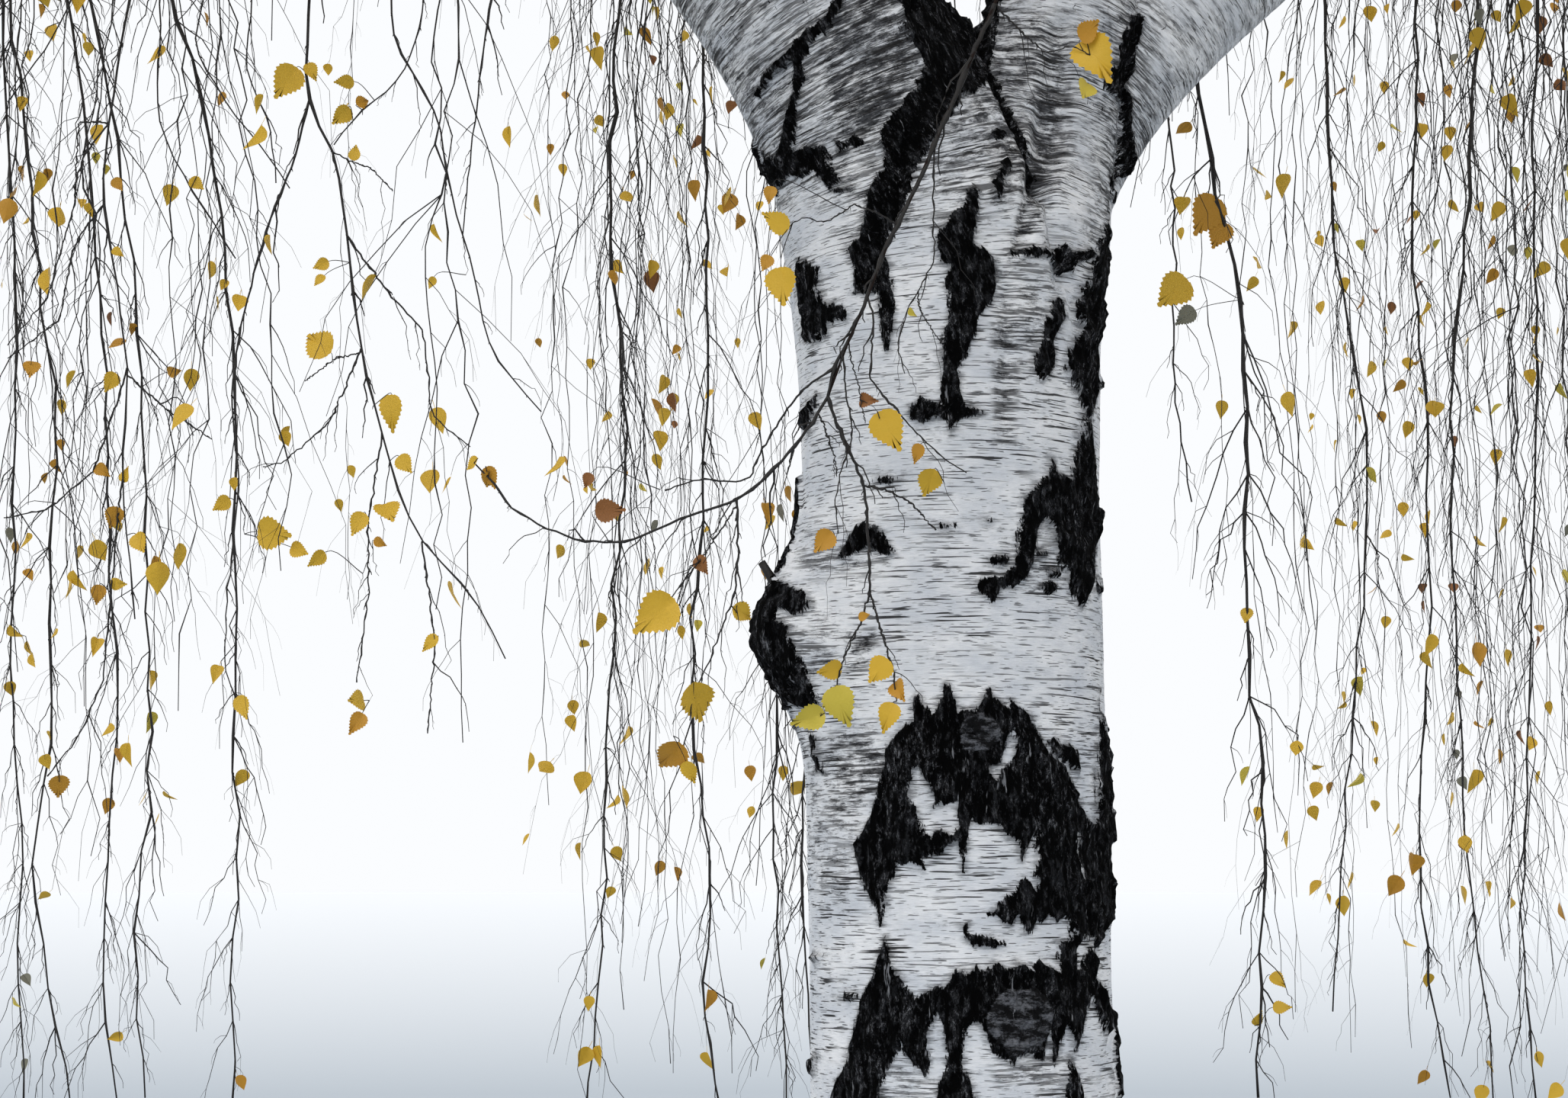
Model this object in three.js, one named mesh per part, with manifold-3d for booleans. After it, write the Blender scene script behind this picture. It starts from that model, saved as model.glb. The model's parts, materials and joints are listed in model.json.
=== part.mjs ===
// A weeping white birch in late autumn: a trunk with root flare and a low fork of three main boughs,
// limbs that arch out from them, and curtains of hanging twigs with the last yellow leaves.
// Millimetres, +Z up, origin at the centre of the flat cut under the trunk. -Y is the tree's front.
import * as THREE from "three";
import { mergeVertices } from "three/addons/utils/BufferGeometryUtils.js";
import Module from "manifold-3d";

// Driving dimensions of the tree
const TREE_HEIGHT = 11000;
const CROWN_RADIUS = 5250;
const TRUNK_RADIUS = 221;
const TRUNK_TAPER = 5;
const TRUNK_LEAN = -0.017;
const FORK_START = 2130;
const CROTCH_HEIGHT = 2740;

// Clearances between separate pieces
const SEAT_GAP = 0.3;
const FLANK_GAP = 0.35;
const TWIG_CLEARANCE = 25;

// Root flare: how far it stands out at the ground, how soon it dies away upward, and its lobes
const ROOT_FLARE = 150;
const FLARE_HEIGHT = 260;
const ROOT_LOBES = { count: 5, depth: 0.3, turn: 40 };

// The left shoulder widens below the fork, and the trunk closes over between the boughs.
const SHOULDER = { out: 14, from: 2150, over: 350 };
const CLOSING = { from: 2420, over: 340, share: 0.75 };

// Burls and swellings of the trunk: height, azimuth, how far they stand out, and their half sizes
const SWELLINGS = [
  { height: 1815, azimuth: 187, out: 78, tall: 112, wide: 24 },
  { height: 1420, azimuth: 0, out: -9, tall: 350, wide: 50 },
  { height: 2420, azimuth: 0, out: 14, tall: 90, wide: 40 },
  { height: 1510, azimuth: 352, out: 9, tall: 130, wide: 20 },
  { height: 1560, azimuth: 285, out: 10, tall: 170, wide: 26 },
  { height: 560, azimuth: 95, out: 30, tall: 130, wide: 28 },
];

// The three main boughs, which all start inside the trunk. Angles are in degrees, and a lean is measured
// from the vertical: at the start, at its widest, and at the tip. The top values size the tip's curtain.
const MAIN_BOUGHS = [
  {
    name: "left",
    start: [-46, -30],
    azimuth: 184,
    turn: 34,
    leans: [8, 44, 6],
    swing: 1100,
    climb: 3000,
    length: 7300,
    radii: [178, 32],
    top: { reach: 800, half: 20, lift: 420 },
  },
  {
    name: "middle",
    start: [44, 5],
    azimuth: 20,
    turn: 100,
    leans: [6, 13, 2],
    swing: 700,
    climb: 5200,
    length: 7950,
    radii: [118, 26],
    top: { reach: 250, half: 70, lift: 930 },
  },
  {
    name: "right",
    start: [38, 66],
    azimuth: 6,
    turn: 34,
    leans: [5, 48, 6],
    swing: 850,
    climb: 3000,
    length: 7000,
    radii: [102, 28],
    top: { reach: 650, half: 20, lift: 420 },
  },
];

// Where each main bough is sawn from the trunk's fork, as a length along its own line
const FORK_CUT = 800;

// Rings of curtains, from the outside in. Radii are shares of CROWN_RADIUS, and heights of TREE_HEIGHT.
const TIERS = [
  {
    name: "outer",
    count: 9,
    azimuth: 16,
    half: 17.5,
    limbRadius: 0.7,
    limbHeight: 0.475,
    inner: 0.68,
    outer: 1.0,
    hem: 0.088,
    climb: 1750,
    lift: 60,
    limbGirth: 44,
    leafScale: 1,
    strands: 5,
    leaves: 3,
  },
  {
    name: "middle",
    count: 6,
    azimuth: 34,
    half: 26,
    limbRadius: 0.46,
    limbHeight: 0.665,
    inner: 0.42,
    outer: 0.64,
    hem: 0.37,
    climb: 1750,
    lift: 170,
    limbGirth: 34,
    leafScale: 1,
    strands: 4,
    leaves: 3,
  },
  {
    name: "upper",
    count: 4,
    azimuth: 66,
    half: 21,
    limbRadius: 0.27,
    limbHeight: 0.82,
    inner: 0.24,
    outer: 0.4,
    hem: 0.56,
    climb: 1500,
    lift: 330,
    limbGirth: 26,
    leafScale: 1,
    strands: 4,
    leaves: 3,
  },
];

// Low curtains that hang round the trunk, each in its own cell from an inner to an outer radius. The
// front one's limb comes down across the trunk, slanting to the left.
const LOW_CURTAINS = [
  {
    name: "front",
    azimuth: 252,
    limbAzimuth: 288,
    radius: 454,
    height: 2990,
    stemEnd: [-250, -455, 2080],
    inner: 430,
    outer: 720,
    hem: 1690,
    half: 34,
  },
  { name: "left", azimuth: 196, radius: 1000, height: 3500, inner: 680, outer: 1500, hem: 1600, half: 17 },
  { name: "rear", azimuth: 112, radius: 1250, height: 3700, inner: 1150, outer: 1750, hem: 900, half: 14 },
  { name: "far", azimuth: 62, radius: 2350, height: 3900, inner: 2300, outer: 3050, hem: 950, half: 10 },
  { name: "right", azimuth: 24, radius: 1000, height: 3600, inner: 950, outer: 1500, hem: 1050, half: 14 },
  { name: "side", azimuth: 318, radius: 1650, height: 3800, inner: 1550, outer: 2250, hem: 1250, half: 14 },
];
const LOW_TIER = { name: "low", climb: 380, lift: 40, limbGirth: 17, leafScale: 0.6, strands: 4, leaves: 2 };
const TOP_TIER = { name: "top", leafScale: 1, strands: 4, leaves: 3 };

// The tips on the tree's back left hang less low than the rest.
const SHORT_SIDE = { azimuth: 118, wide: 34, rise: 900 };

// Each leaf stands for a spray, so it is larger than life. Its widest place is near its foot.
const LEAF = { length: 200, width: 150, thickness: 20, widest: 0.38 };
const TWIG_GIRTH = [9, 4.5];
const STRAND_SIDES = 3;
const STRAND_STEPS = 4;

const COLOURS = {
  bark: { color: 0xd4d5d9, roughness: 0.75, metalness: 0 },
  limb: { color: 0x8d8a88, roughness: 0.8, metalness: 0 },
  curtain: { color: 0x8a6a1c, roughness: 0.65, metalness: 0 },
};

const wasm = await Module();
wasm.setup();

const UP = new THREE.Vector3(0, 0, 1);
const radians = THREE.MathUtils.degToRad;
const degrees = THREE.MathUtils.radToDeg;
const smooth = (x) => THREE.MathUtils.smoothstep(x, 0, 1);
const fraction = (x) => x - Math.floor(x);
const compass = (azimuth) => new THREE.Vector3(Math.cos(radians(azimuth)), Math.sin(radians(azimuth)), 0);

// The turn from one azimuth to another, from -180 to 180 degrees
const turnBetween = (from, to) => ((((to - from) % 360) + 540) % 360) - 180;

// A repeatable number from 0 to 1 for two whole numbers
const chance = (a, b) => fraction(Math.sin(a * 12.9898 + b * 78.233) * 43758.5453);
const between = (a, b, low, high) => low + (high - low) * chance(a, b);

// A direction from a lean off the vertical towards an azimuth, both in degrees
const leaning = (lean, azimuth) =>
  compass(azimuth)
    .multiplyScalar(Math.sin(radians(lean)))
    .addScaledVector(UP, Math.cos(radians(lean)));

function tangentsOf(path) {
  return path.map((_, i) =>
    path[Math.min(i + 1, path.length - 1)]
      .clone()
      .sub(path[Math.max(i - 1, 0)])
      .normalize(),
  );
}

// Two directions across each tangent, carried along the line without a twist
function framesOf(tangents) {
  const across = new THREE.Vector3(1, 0, 0);
  if (Math.abs(tangents[0].x) > 0.8) across.set(0, 1, 0);
  return tangents.map((tangent) => {
    across.addScaledVector(tangent, -across.dot(tangent)).normalize();
    return [across.clone(), across.clone().cross(tangent)];
  });
}

const acrossFrame = ([first, second], angle) =>
  first.clone().multiplyScalar(Math.cos(angle)).addScaledVector(second, Math.sin(angle));

// A closed tube with one ring of vertices at each point of a path. girth gives the radius at a ring
// for a direction across the path.
function tube(path, sides, girth, tangents = tangentsOf(path)) {
  const geometry = new THREE.CylinderGeometry(1, 1, 1, sides, path.length - 1);
  const frames = framesOf(tangents);
  const position = geometry.attributes.position;
  for (let i = 0; i < position.count; i++) {
    const ring = Math.round((position.getY(i) + 0.5) * (path.length - 1));
    const x = position.getX(i);
    const z = position.getZ(i);
    const point = path[ring].clone();
    if (Math.hypot(x, z) > 0.5) {
      const side = Math.round((Math.atan2(z, x) / (2 * Math.PI)) * sides + sides) % sides;
      const direction = acrossFrame(frames[ring], (2 * Math.PI * side) / sides);
      point.addScaledVector(direction, girth(ring, direction));
    }
    position.setXYZ(i, point.x, point.y, point.z);
  }
  return geometry;
}

// A closed mesh as a solid that can be joined and cut
function solid(geometry) {
  geometry.deleteAttribute("normal");
  geometry.deleteAttribute("uv");
  const merged = mergeVertices(geometry, 1e-3);
  return new wasm.Manifold(
    new wasm.Mesh({
      numProp: 3,
      vertProperties: merged.attributes.position.array,
      triVerts: new Uint32Array(merged.index.array),
    }),
  );
}

function meshOf(name, made, look) {
  const { vertProperties, triVerts } = made.getMesh();
  const geometry = new THREE.BufferGeometry()
    .setAttribute("position", new THREE.BufferAttribute(vertProperties, 3))
    .setIndex(new THREE.BufferAttribute(triVerts, 1));
  geometry.computeVertexNormals();
  const mesh = new THREE.Mesh(geometry, new THREE.MeshStandardMaterial(look));
  mesh.name = name;
  return mesh;
}

// The point and the direction at a length along an evenly stepped line
function along(path, length, total) {
  const at = THREE.MathUtils.clamp(length / total, 0, 1) * (path.length - 1);
  const i = Math.min(Math.floor(at), path.length - 2);
  const point = path[i].clone().lerp(path[i + 1], at - i);
  return { point, direction: path[i + 1].clone().sub(path[i]).normalize() };
}

// A cubic curve from one point and direction to another, sampled evenly in its parameter
function arch(start, startWay, end, endWay, pull, steps) {
  const reach = start.distanceTo(end) * pull;
  return new THREE.CubicBezierCurve3(
    start,
    start.clone().addScaledVector(startWay, reach),
    end.clone().addScaledVector(endWay, -reach),
    end,
  ).getPoints(steps);
}

const MAIN_LINE_STEPS = 40;
const MAIN_SIDES = 11;
const BOUGH_STEPS = 12;
const STUB_STEPS = 6;

// Line of a main bough: it leaves the trunk steeply, swings out, then climbs.
function mainLine(bough) {
  const [leanStart, leanWide, leanTop] = bough.leans;
  const step = bough.length / MAIN_LINE_STEPS;
  const path = [new THREE.Vector3(...bough.start, FORK_START)];
  for (let i = 0; i < MAIN_LINE_STEPS; i++) {
    const s = (i + 0.5) * step;
    const swung = smooth(s / bough.swing);
    const climbed = smooth((s - bough.swing) / bough.climb);
    const lean = leanStart + (leanWide - leanStart) * swung + (leanTop - leanWide) * climbed;
    const way = leaning(lean, bough.azimuth + bough.turn * climbed);
    path.push(path[i].clone().addScaledVector(way, step));
  }
  return path;
}

// A main bough's radius at a length along it
function mainGirth(bough, s) {
  const [base, tip] = bough.radii;
  return tip + (base - tip) * (1 - s / bough.length) ** 0.9;
}

const mains = MAIN_BOUGHS.map((bough) => ({ ...bough, path: mainLine(bough) }));

// The stretch of a main bough from one length to another, grown all round by a gap
function stretch(main, from, to, steps, grown = 0) {
  const path = [];
  const tangents = [];
  const girths = [];
  for (let i = 0; i <= steps; i++) {
    const s = from + ((to - from) * i) / steps;
    const { point, direction } = along(main.path, s, main.length);
    path.push(point);
    tangents.push(direction);
    girths.push(mainGirth(main, s) + grown);
  }
  return solid(tube(path, MAIN_SIDES, (ring) => girths[ring], tangents));
}

const boughSolid = (main, grown = 0) =>
  stretch(main, FORK_CUT + SEAT_GAP, main.length, BOUGH_STEPS, grown);

function swelling(z, azimuth) {
  let out = 0;
  for (const bump of SWELLINGS) {
    const turn = turnBetween(bump.azimuth, azimuth);
    out += bump.out * Math.exp(-(((z - bump.height) / bump.tall) ** 2) - (turn / bump.wide) ** 2);
  }
  return out;
}

// The trunk's radius at a height towards an azimuth in degrees
function trunkGirth(z, azimuth) {
  const flare = ROOT_FLARE * Math.exp(-z / FLARE_HEIGHT);
  const lobes = 1 + ROOT_LOBES.depth * Math.cos(radians(ROOT_LOBES.count * azimuth + ROOT_LOBES.turn));
  const taper = TRUNK_TAPER * (1 - z / FORK_START);
  const leftward = Math.max(0, -Math.cos(radians(azimuth)));
  const shoulder = SHOULDER.out * smooth((z - SHOULDER.from) / SHOULDER.over) * leftward;
  const closing = 1 - CLOSING.share * smooth((z - CLOSING.from) / CLOSING.over);
  return (TRUNK_RADIUS + taper + flare * lobes + shoulder + swelling(z, azimuth)) * closing;
}

const TRUNK_SIDES = 24;
const RING_HEIGHTS = {
  flare: [0, 60, 130, 220, 340, 500, 680, 880, 1080, 1280, 1440, 1580],
  burl: [1680, 1760, 1840, 1920],
  fork: [2080, 2230, 2380, 2480, 2580, 2670, CROTCH_HEIGHT],
};

// The trunk from its flat cut at the ground to the sawn faces just above its fork
function trunkSolid() {
  const heights = Object.values(RING_HEIGHTS).flat();
  const path = heights.map((z) => new THREE.Vector3(TRUNK_LEAN * z, 0, z));
  const level = path.map(() => UP.clone());
  const girth = (ring, way) => trunkGirth(heights[ring], degrees(Math.atan2(way.y, way.x)));
  let made = solid(tube(path, TRUNK_SIDES, girth, level));
  for (const main of mains) made = made.add(stretch(main, 0, FORK_CUT, STUB_STEPS));
  return made;
}

// Limbs on one bough keep a distance from each other, and from the fork.
const SEAT_SPACING = 190;
const SEAT_STEP = 40;
const LOWEST_SEAT = FORK_CUT + 150;
const HIGHEST_SEAT = 0.93;
const HEIGHT_WEIGHT = 3;
const taken = [];

// The main bough that a limb grows on, and how far up it: the free place that best lies under the tip
function seatOf(tip, climb) {
  const wanted = tip.z - climb;
  let best = null;
  for (const main of mains) {
    for (let s = LOWEST_SEAT; s < main.length * HIGHEST_SEAT; s += SEAT_STEP) {
      if (taken.some((seat) => seat.main === main && Math.abs(seat.s - s) < SEAT_SPACING)) continue;
      const { point, direction } = along(main.path, s, main.length);
      const aside = Math.hypot(point.x - tip.x, point.y - tip.y);
      const cost = aside + HEIGHT_WEIGHT * Math.abs(point.z - wanted);
      if (!best || cost < best.cost) best = { cost, main, s, point, direction };
    }
  }
  taken.push(best);
  return best;
}

// A curtain of a tier: the cell that it keeps to, its limb's tip, and the number that seeds its twigs
function tierPlan(tier, seed, k) {
  const azimuth = tier.azimuth + (360 * k) / tier.count + between(seed, 1, -3, 3);
  const away = turnBetween(SHORT_SIDE.azimuth, azimuth) / SHORT_SIDE.wide;
  return {
    label: tier.name + "_" + String(k + 1).padStart(2, "0"),
    tier,
    seed,
    azimuth,
    radius: CROWN_RADIUS * (tier.limbRadius + between(seed, 2, -0.02, 0.02)),
    height: TREE_HEIGHT * (tier.limbHeight + between(seed, 3, -0.025, 0.025)),
    half: tier.half,
    inner: CROWN_RADIUS * tier.inner,
    outer: CROWN_RADIUS * (tier.outer - between(seed, 4, 0, 0.05)),
    hem: TREE_HEIGHT * (tier.hem + between(seed, 5, -0.01, 0.045)) + SHORT_SIDE.rise * Math.exp(-(away ** 2)),
  };
}

const LOW_SEED = 70;
const TOP_SEED = 90;
const TIER_SEED = 17;

// All the curtains that hang from limbs. The low ones come first, and so take the lowest seats.
function limbPlans() {
  const plans = LOW_CURTAINS.map((low, k) => ({
    ...low,
    label: "low_" + low.name,
    tier: LOW_TIER,
    seed: LOW_SEED + k,
  }));
  TIERS.forEach((tier, t) => {
    for (let k = 0; k < tier.count; k++) plans.push(tierPlan(tier, TIER_SEED * (t + 1) + k, k));
  });
  for (const plan of plans)
    plan.tip = compass(plan.limbAzimuth ?? plan.azimuth).multiplyScalar(plan.radius).setZ(plan.height);
  return plans;
}

const LIMB_STEPS = 7;
const LIMB_SIDES = 6;
const LIMB_PULL = 0.36;
const LIMB_TAPER = 0.52;
const LIMB_COLLAR = 0.35;
const FORK_ANGLE = 44;
const UPWARD_START = 0.62;
const OUTWARD_START = 0.78;

// A limb leaves its bough at no less than FORK_ANGLE, on the side that faces its tip.
function departure(seat, away) {
  const way = away.clone().multiplyScalar(OUTWARD_START).addScaledVector(UP, UPWARD_START).normalize();
  const least = Math.cos(radians(FORK_ANGLE));
  if (way.dot(seat.direction) < least) return way;
  const flank = away.clone().addScaledVector(seat.direction, -away.dot(seat.direction)).normalize();
  return seat.direction
    .clone()
    .multiplyScalar(least)
    .addScaledVector(flank, Math.sin(radians(FORK_ANGLE)));
}

function limbLine(plan) {
  const seat = seatOf(plan.tip, plan.tier.climb);
  const away = plan.tip.clone().sub(seat.point).setZ(0).normalize();
  const heading = compass(plan.azimuth).addScaledVector(UP, 0.1 + plan.tier.lift / 600);
  if (plan.stemEnd) heading.set(...plan.stemEnd).sub(plan.tip);
  heading.normalize();
  const path = arch(seat.point, departure(seat, away), plan.tip, heading, LIMB_PULL, LIMB_STEPS);
  return { ...plan, seat, heading, path };
}

const limbGirth = (limb, share) =>
  limb.tier.limbGirth * (1 - LIMB_TAPER * share) * (1 + LIMB_COLLAR * Math.exp(-share * 14));

function limbSolid(limb) {
  const last = limb.path.length - 1;
  const tangents = tangentsOf(limb.path);
  tangents[last] = limb.heading;
  const body = solid(tube(limb.path, LIMB_SIDES, (ring) => limbGirth(limb, ring / last), tangents));
  return body.subtract(boughSolid(limb.seat.main, FLANK_GAP));
}

const STEM_STEPS = 4;
const STEM_SIDES = 4;
const STEM_PULL = 0.4;
const STEM_SHARE = 0.72;
const STEM_SAG = 0.1;
const STEM_TIP = 9;

// The stem that carries a curtain on from the tip of a limb or of a main bough
function stemLine(plan, base, heading, girth) {
  const outward = compass(plan.azimuth);
  const start = base.clone().addScaledVector(heading, SEAT_GAP);
  const reach = (plan.outer - plan.radius) * STEM_SHARE;
  const end = start.clone().addScaledVector(outward, reach);
  end.z += plan.tier.lift - STEM_SAG * reach;
  const droop = outward.clone().addScaledVector(UP, -0.75).normalize();
  if (plan.stemEnd) end.set(...plan.stemEnd);
  const path = arch(start, heading, end, plan.stemEnd ? heading : droop, STEM_PULL, STEM_STEPS);
  return { path, heading, reach, girths: [girth, STEM_TIP * plan.tier.leafScale] };
}

// Two steps that spread numbered twigs evenly over a cell: each one more fills the widest gap left.
const SPREAD = [0.7548776662, 0.569840291];
const ARCH_SHARE = 0.4;
const SWAY = 30;
const FALL_POWER = 1.45;

// Line of one hanging twig: it leaves the stem, arches to its own place in the cell, and falls.
function strandLine(plan, stem, number) {
  const seed = plan.seed * 31 + number;
  const depth = fraction(chance(plan.seed, 6) + number * SPREAD[0]);
  const side = 2 * fraction(chance(plan.seed, 7) + number * SPREAD[1]) - 1;
  const place = plan.inner + (plan.outer - plan.inner) * depth;
  const share = THREE.MathUtils.clamp((place - plan.radius) / stem.reach - 0.15, 0.12, 0.97);
  const { point: base } = along(stem.path, share, 1);
  const hang = compass(plan.azimuth + side * plan.half * 0.86)
    .multiplyScalar(place)
    .setZ(base.z);
  const drop = (base.z - plan.hem) * between(seed, 2, 0.68, 1);
  const rise = between(seed, 3, 40, 150);
  const path = [];
  for (let i = 0; i <= STRAND_STEPS; i++) {
    const u = i / STRAND_STEPS;
    const v = Math.min(u / ARCH_SHARE, 1);
    const point = base.clone().lerp(hang, 1 - (1 - v) ** 2);
    const sway = SWAY * u * Math.sin(2 * Math.PI * (1.3 * u + chance(seed, 4)));
    point.x += sway;
    point.y += sway * (2 * chance(seed, 5) - 1);
    point.z += rise * Math.sin(Math.PI * v) - drop * u ** FALL_POWER;
    path.push(point);
  }
  return path;
}

const MAIN_SPACING = 100;
const LIMB_SAMPLES = 42;

// Every limb and bough as points with radii, which twigs keep clear of
function obstaclesOf(limbs) {
  const found = [];
  for (const main of mains)
    for (let s = 0; s <= main.length; s += MAIN_SPACING)
      found.push([along(main.path, s, main.length).point, mainGirth(main, s)]);
  for (const limb of limbs)
    for (let i = 0; i <= LIMB_SAMPLES; i++)
      found.push([along(limb.path, i, LIMB_SAMPLES).point, limbGirth(limb, i / LIMB_SAMPLES)]);
  return found;
}

const limbs = limbPlans().map(limbLine);
const obstacles = obstaclesOf(limbs);
const nearest = new THREE.Vector3();

// Whether a straight line from one point to another comes nearer to any limb than a margin
const meetsLimb = (from, to, margin) =>
  obstacles.some(([centre, girth]) => {
    const far = girth + margin;
    if (centre.z > Math.max(from.z, to.z) + far || centre.z < Math.min(from.z, to.z) - far) return false;
    new THREE.Line3(from, to).closestPointToPoint(centre, true, nearest);
    return nearest.distanceTo(centre) < far;
  });

// The twig's points up to the first stretch that comes too near a limb, or none if little is left
function clearOf(path) {
  const near = path.findIndex((point, i) => i > 0 && meetsLimb(path[i - 1], point, TWIG_CLEARANCE));
  if (near < 0) return path;
  return near > path.length / 2 ? path.slice(0, near) : [];
}

// A leaf of eight faces, widest near its foot, from a point out along a direction
function leafSolid(point, way, face, scale) {
  const geometry = new THREE.OctahedronGeometry(scale);
  const across = way.clone().cross(face).normalize();
  const normal = across.clone().cross(way);
  const position = geometry.attributes.position;
  for (let i = 0; i < position.count; i++) {
    const y = position.getY(i) / scale;
    const share = Math.abs(y) > 0.5 ? (y + 1) / 2 : LEAF.widest;
    const spot = point
      .clone()
      .addScaledVector(way, share * LEAF.length * scale)
      .addScaledVector(across, (position.getX(i) * LEAF.width) / 2)
      .addScaledVector(normal, (position.getZ(i) * LEAF.thickness) / 2);
    position.setXYZ(i, spot.x, spot.y, spot.z);
  }
  return solid(geometry);
}

// The leaves of one hanging twig. Each stands on the middle of one of the twig's flat sides, a quarter
// of the way along a step or three quarters, and leans down the twig.
function leavesOf(path, seed, tier) {
  const tangents = tangentsOf(path);
  const frames = framesOf(tangents);
  const scale = tier.leafScale;
  const leaves = [];
  for (let n = 0; n < tier.leaves; n++) {
    const place = (STRAND_STEPS * (n + 1)) / tier.leaves - 1;
    const step = Math.floor(place + between(seed, n, 0, 0.6));
    if (step >= path.length - 1) continue;
    const point = path[step].clone().lerp(path[step + 1], chance(seed, n + 5) < 0.5 ? 0.28 : 0.72);
    const side = Math.floor(STRAND_SIDES * chance(seed, n + 10)) + 0.5;
    const way = acrossFrame(frames[step], (2 * Math.PI * side) / STRAND_SIDES);
    way.addScaledVector(tangents[step], between(seed, n + 15, 0.4, 1.3)).normalize();
    const tip = point.clone().addScaledVector(way, LEAF.length * scale);
    if (meetsLimb(point, tip, LEAF.width * scale)) continue;
    leaves.push(leafSolid(point, way, way.clone().cross(tangents[step]), scale));
  }
  return leaves;
}

const taperBetween = ([thick, thin], share) => thick + (thin - thick) * share;

// A curtain: its stem, its hanging twigs and their leaves in one closed solid
function curtainSolid(plan, stem) {
  const last = stem.path.length - 1;
  const tangents = tangentsOf(stem.path);
  tangents[0] = stem.heading;
  const stemGirth = (ring) => taperBetween(stem.girths, ring / last);
  const twigGirth = (ring) => plan.tier.leafScale * taperBetween(TWIG_GIRTH, ring / STRAND_STEPS);
  const parts = [solid(tube(stem.path, STEM_SIDES, stemGirth, tangents))];
  for (let number = 0; number < plan.tier.strands; number++) {
    const path = clearOf(strandLine(plan, stem, number));
    if (path.length < 3) continue;
    parts.push(solid(tube(path, STRAND_SIDES, twigGirth)));
    parts.push(...leavesOf(path, plan.seed * 97 + number * 31, plan.tier));
  }
  return wasm.Manifold.union(parts);
}

// The curtain at the tip of a main bough keeps to the cell about that tip.
function topPlan(main, seed) {
  const tip = main.path[main.path.length - 1];
  const radius = Math.hypot(tip.x, tip.y);
  return {
    label: "top_" + main.name,
    tier: { ...TOP_TIER, lift: main.top.lift },
    seed,
    azimuth: degrees(Math.atan2(tip.y, tip.x)),
    radius,
    half: main.top.half,
    inner: Math.max(radius - 500, 0),
    outer: radius + main.top.reach,
    hem: tip.z - 3000,
  };
}

const tree = new THREE.Group();
tree.add(meshOf("trunk", trunkSolid(), COLOURS.bark));

mains.forEach((main, index) => {
  tree.add(meshOf("bough_" + main.name, boughSolid(main), COLOURS.bark));
  const plan = topPlan(main, TOP_SEED + index);
  const { point, direction } = along(main.path, main.length, main.length);
  const stem = stemLine(plan, point, direction, mainGirth(main, main.length));
  tree.add(meshOf("curtain_" + plan.label, curtainSolid(plan, stem), COLOURS.curtain));
});

for (const limb of limbs) {
  tree.add(meshOf("limb_" + limb.label, limbSolid(limb), COLOURS.limb));
  const stem = stemLine(limb, limb.tip, limb.heading, limbGirth(limb, 1));
  tree.add(meshOf("curtain_" + limb.label, curtainSolid(limb, stem), COLOURS.curtain));
}

export default tree;
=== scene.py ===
# %% [markdown]
# # A weeping white birch in late autumn
# The real tree has a white trunk with black corky patches, a low fork of three boughs, and curtains of
# thin twigs that hang almost to the ground with the last yellow leaves. The imported model gives the frame:
# its trunk, boughs, limbs and curtains say where everything is. This script dresses it. It could move or
# reshape the imported solids, but they are what the physics uses, so it builds new pieces over them and
# hides them. The first lines load the frame and keep its box.

# %% The imported model as the frame
import json
import math
from types import SimpleNamespace

import bmesh
import bpy
import numpy as np
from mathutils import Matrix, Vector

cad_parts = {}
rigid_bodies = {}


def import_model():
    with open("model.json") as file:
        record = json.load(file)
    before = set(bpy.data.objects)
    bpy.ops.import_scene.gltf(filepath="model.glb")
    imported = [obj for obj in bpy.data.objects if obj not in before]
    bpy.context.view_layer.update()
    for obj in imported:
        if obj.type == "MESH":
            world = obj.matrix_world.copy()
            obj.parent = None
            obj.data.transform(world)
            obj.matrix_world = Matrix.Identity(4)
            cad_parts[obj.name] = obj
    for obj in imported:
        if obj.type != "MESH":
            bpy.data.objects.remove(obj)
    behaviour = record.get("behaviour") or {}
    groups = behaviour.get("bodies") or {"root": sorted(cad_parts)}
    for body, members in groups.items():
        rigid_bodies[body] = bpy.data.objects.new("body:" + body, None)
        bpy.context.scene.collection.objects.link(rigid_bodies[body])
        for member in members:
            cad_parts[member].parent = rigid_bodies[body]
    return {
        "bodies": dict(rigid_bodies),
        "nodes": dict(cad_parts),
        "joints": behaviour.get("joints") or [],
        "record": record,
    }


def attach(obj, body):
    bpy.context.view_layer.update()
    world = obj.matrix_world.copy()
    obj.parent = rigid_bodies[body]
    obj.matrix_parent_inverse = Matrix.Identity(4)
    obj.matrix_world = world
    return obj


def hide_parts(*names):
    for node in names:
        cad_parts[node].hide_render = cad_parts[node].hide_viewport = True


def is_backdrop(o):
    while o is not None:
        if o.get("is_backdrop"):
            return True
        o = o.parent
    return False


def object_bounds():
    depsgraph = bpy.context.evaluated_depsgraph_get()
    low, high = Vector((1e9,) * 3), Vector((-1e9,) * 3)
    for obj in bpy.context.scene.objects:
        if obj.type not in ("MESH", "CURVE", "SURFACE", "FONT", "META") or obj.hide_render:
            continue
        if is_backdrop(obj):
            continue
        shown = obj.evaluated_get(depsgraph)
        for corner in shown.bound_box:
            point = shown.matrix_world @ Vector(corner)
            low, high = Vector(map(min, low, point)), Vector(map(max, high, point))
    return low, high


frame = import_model()
cad_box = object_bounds()
MM = 0.001
BOX_LOW, BOX_HIGH = np.array(cad_box) / MM
print("frame:", len(frame["nodes"]), "nodes, box from", BOX_LOW.round(), "to", BOX_HIGH.round(), "mm")

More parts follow.
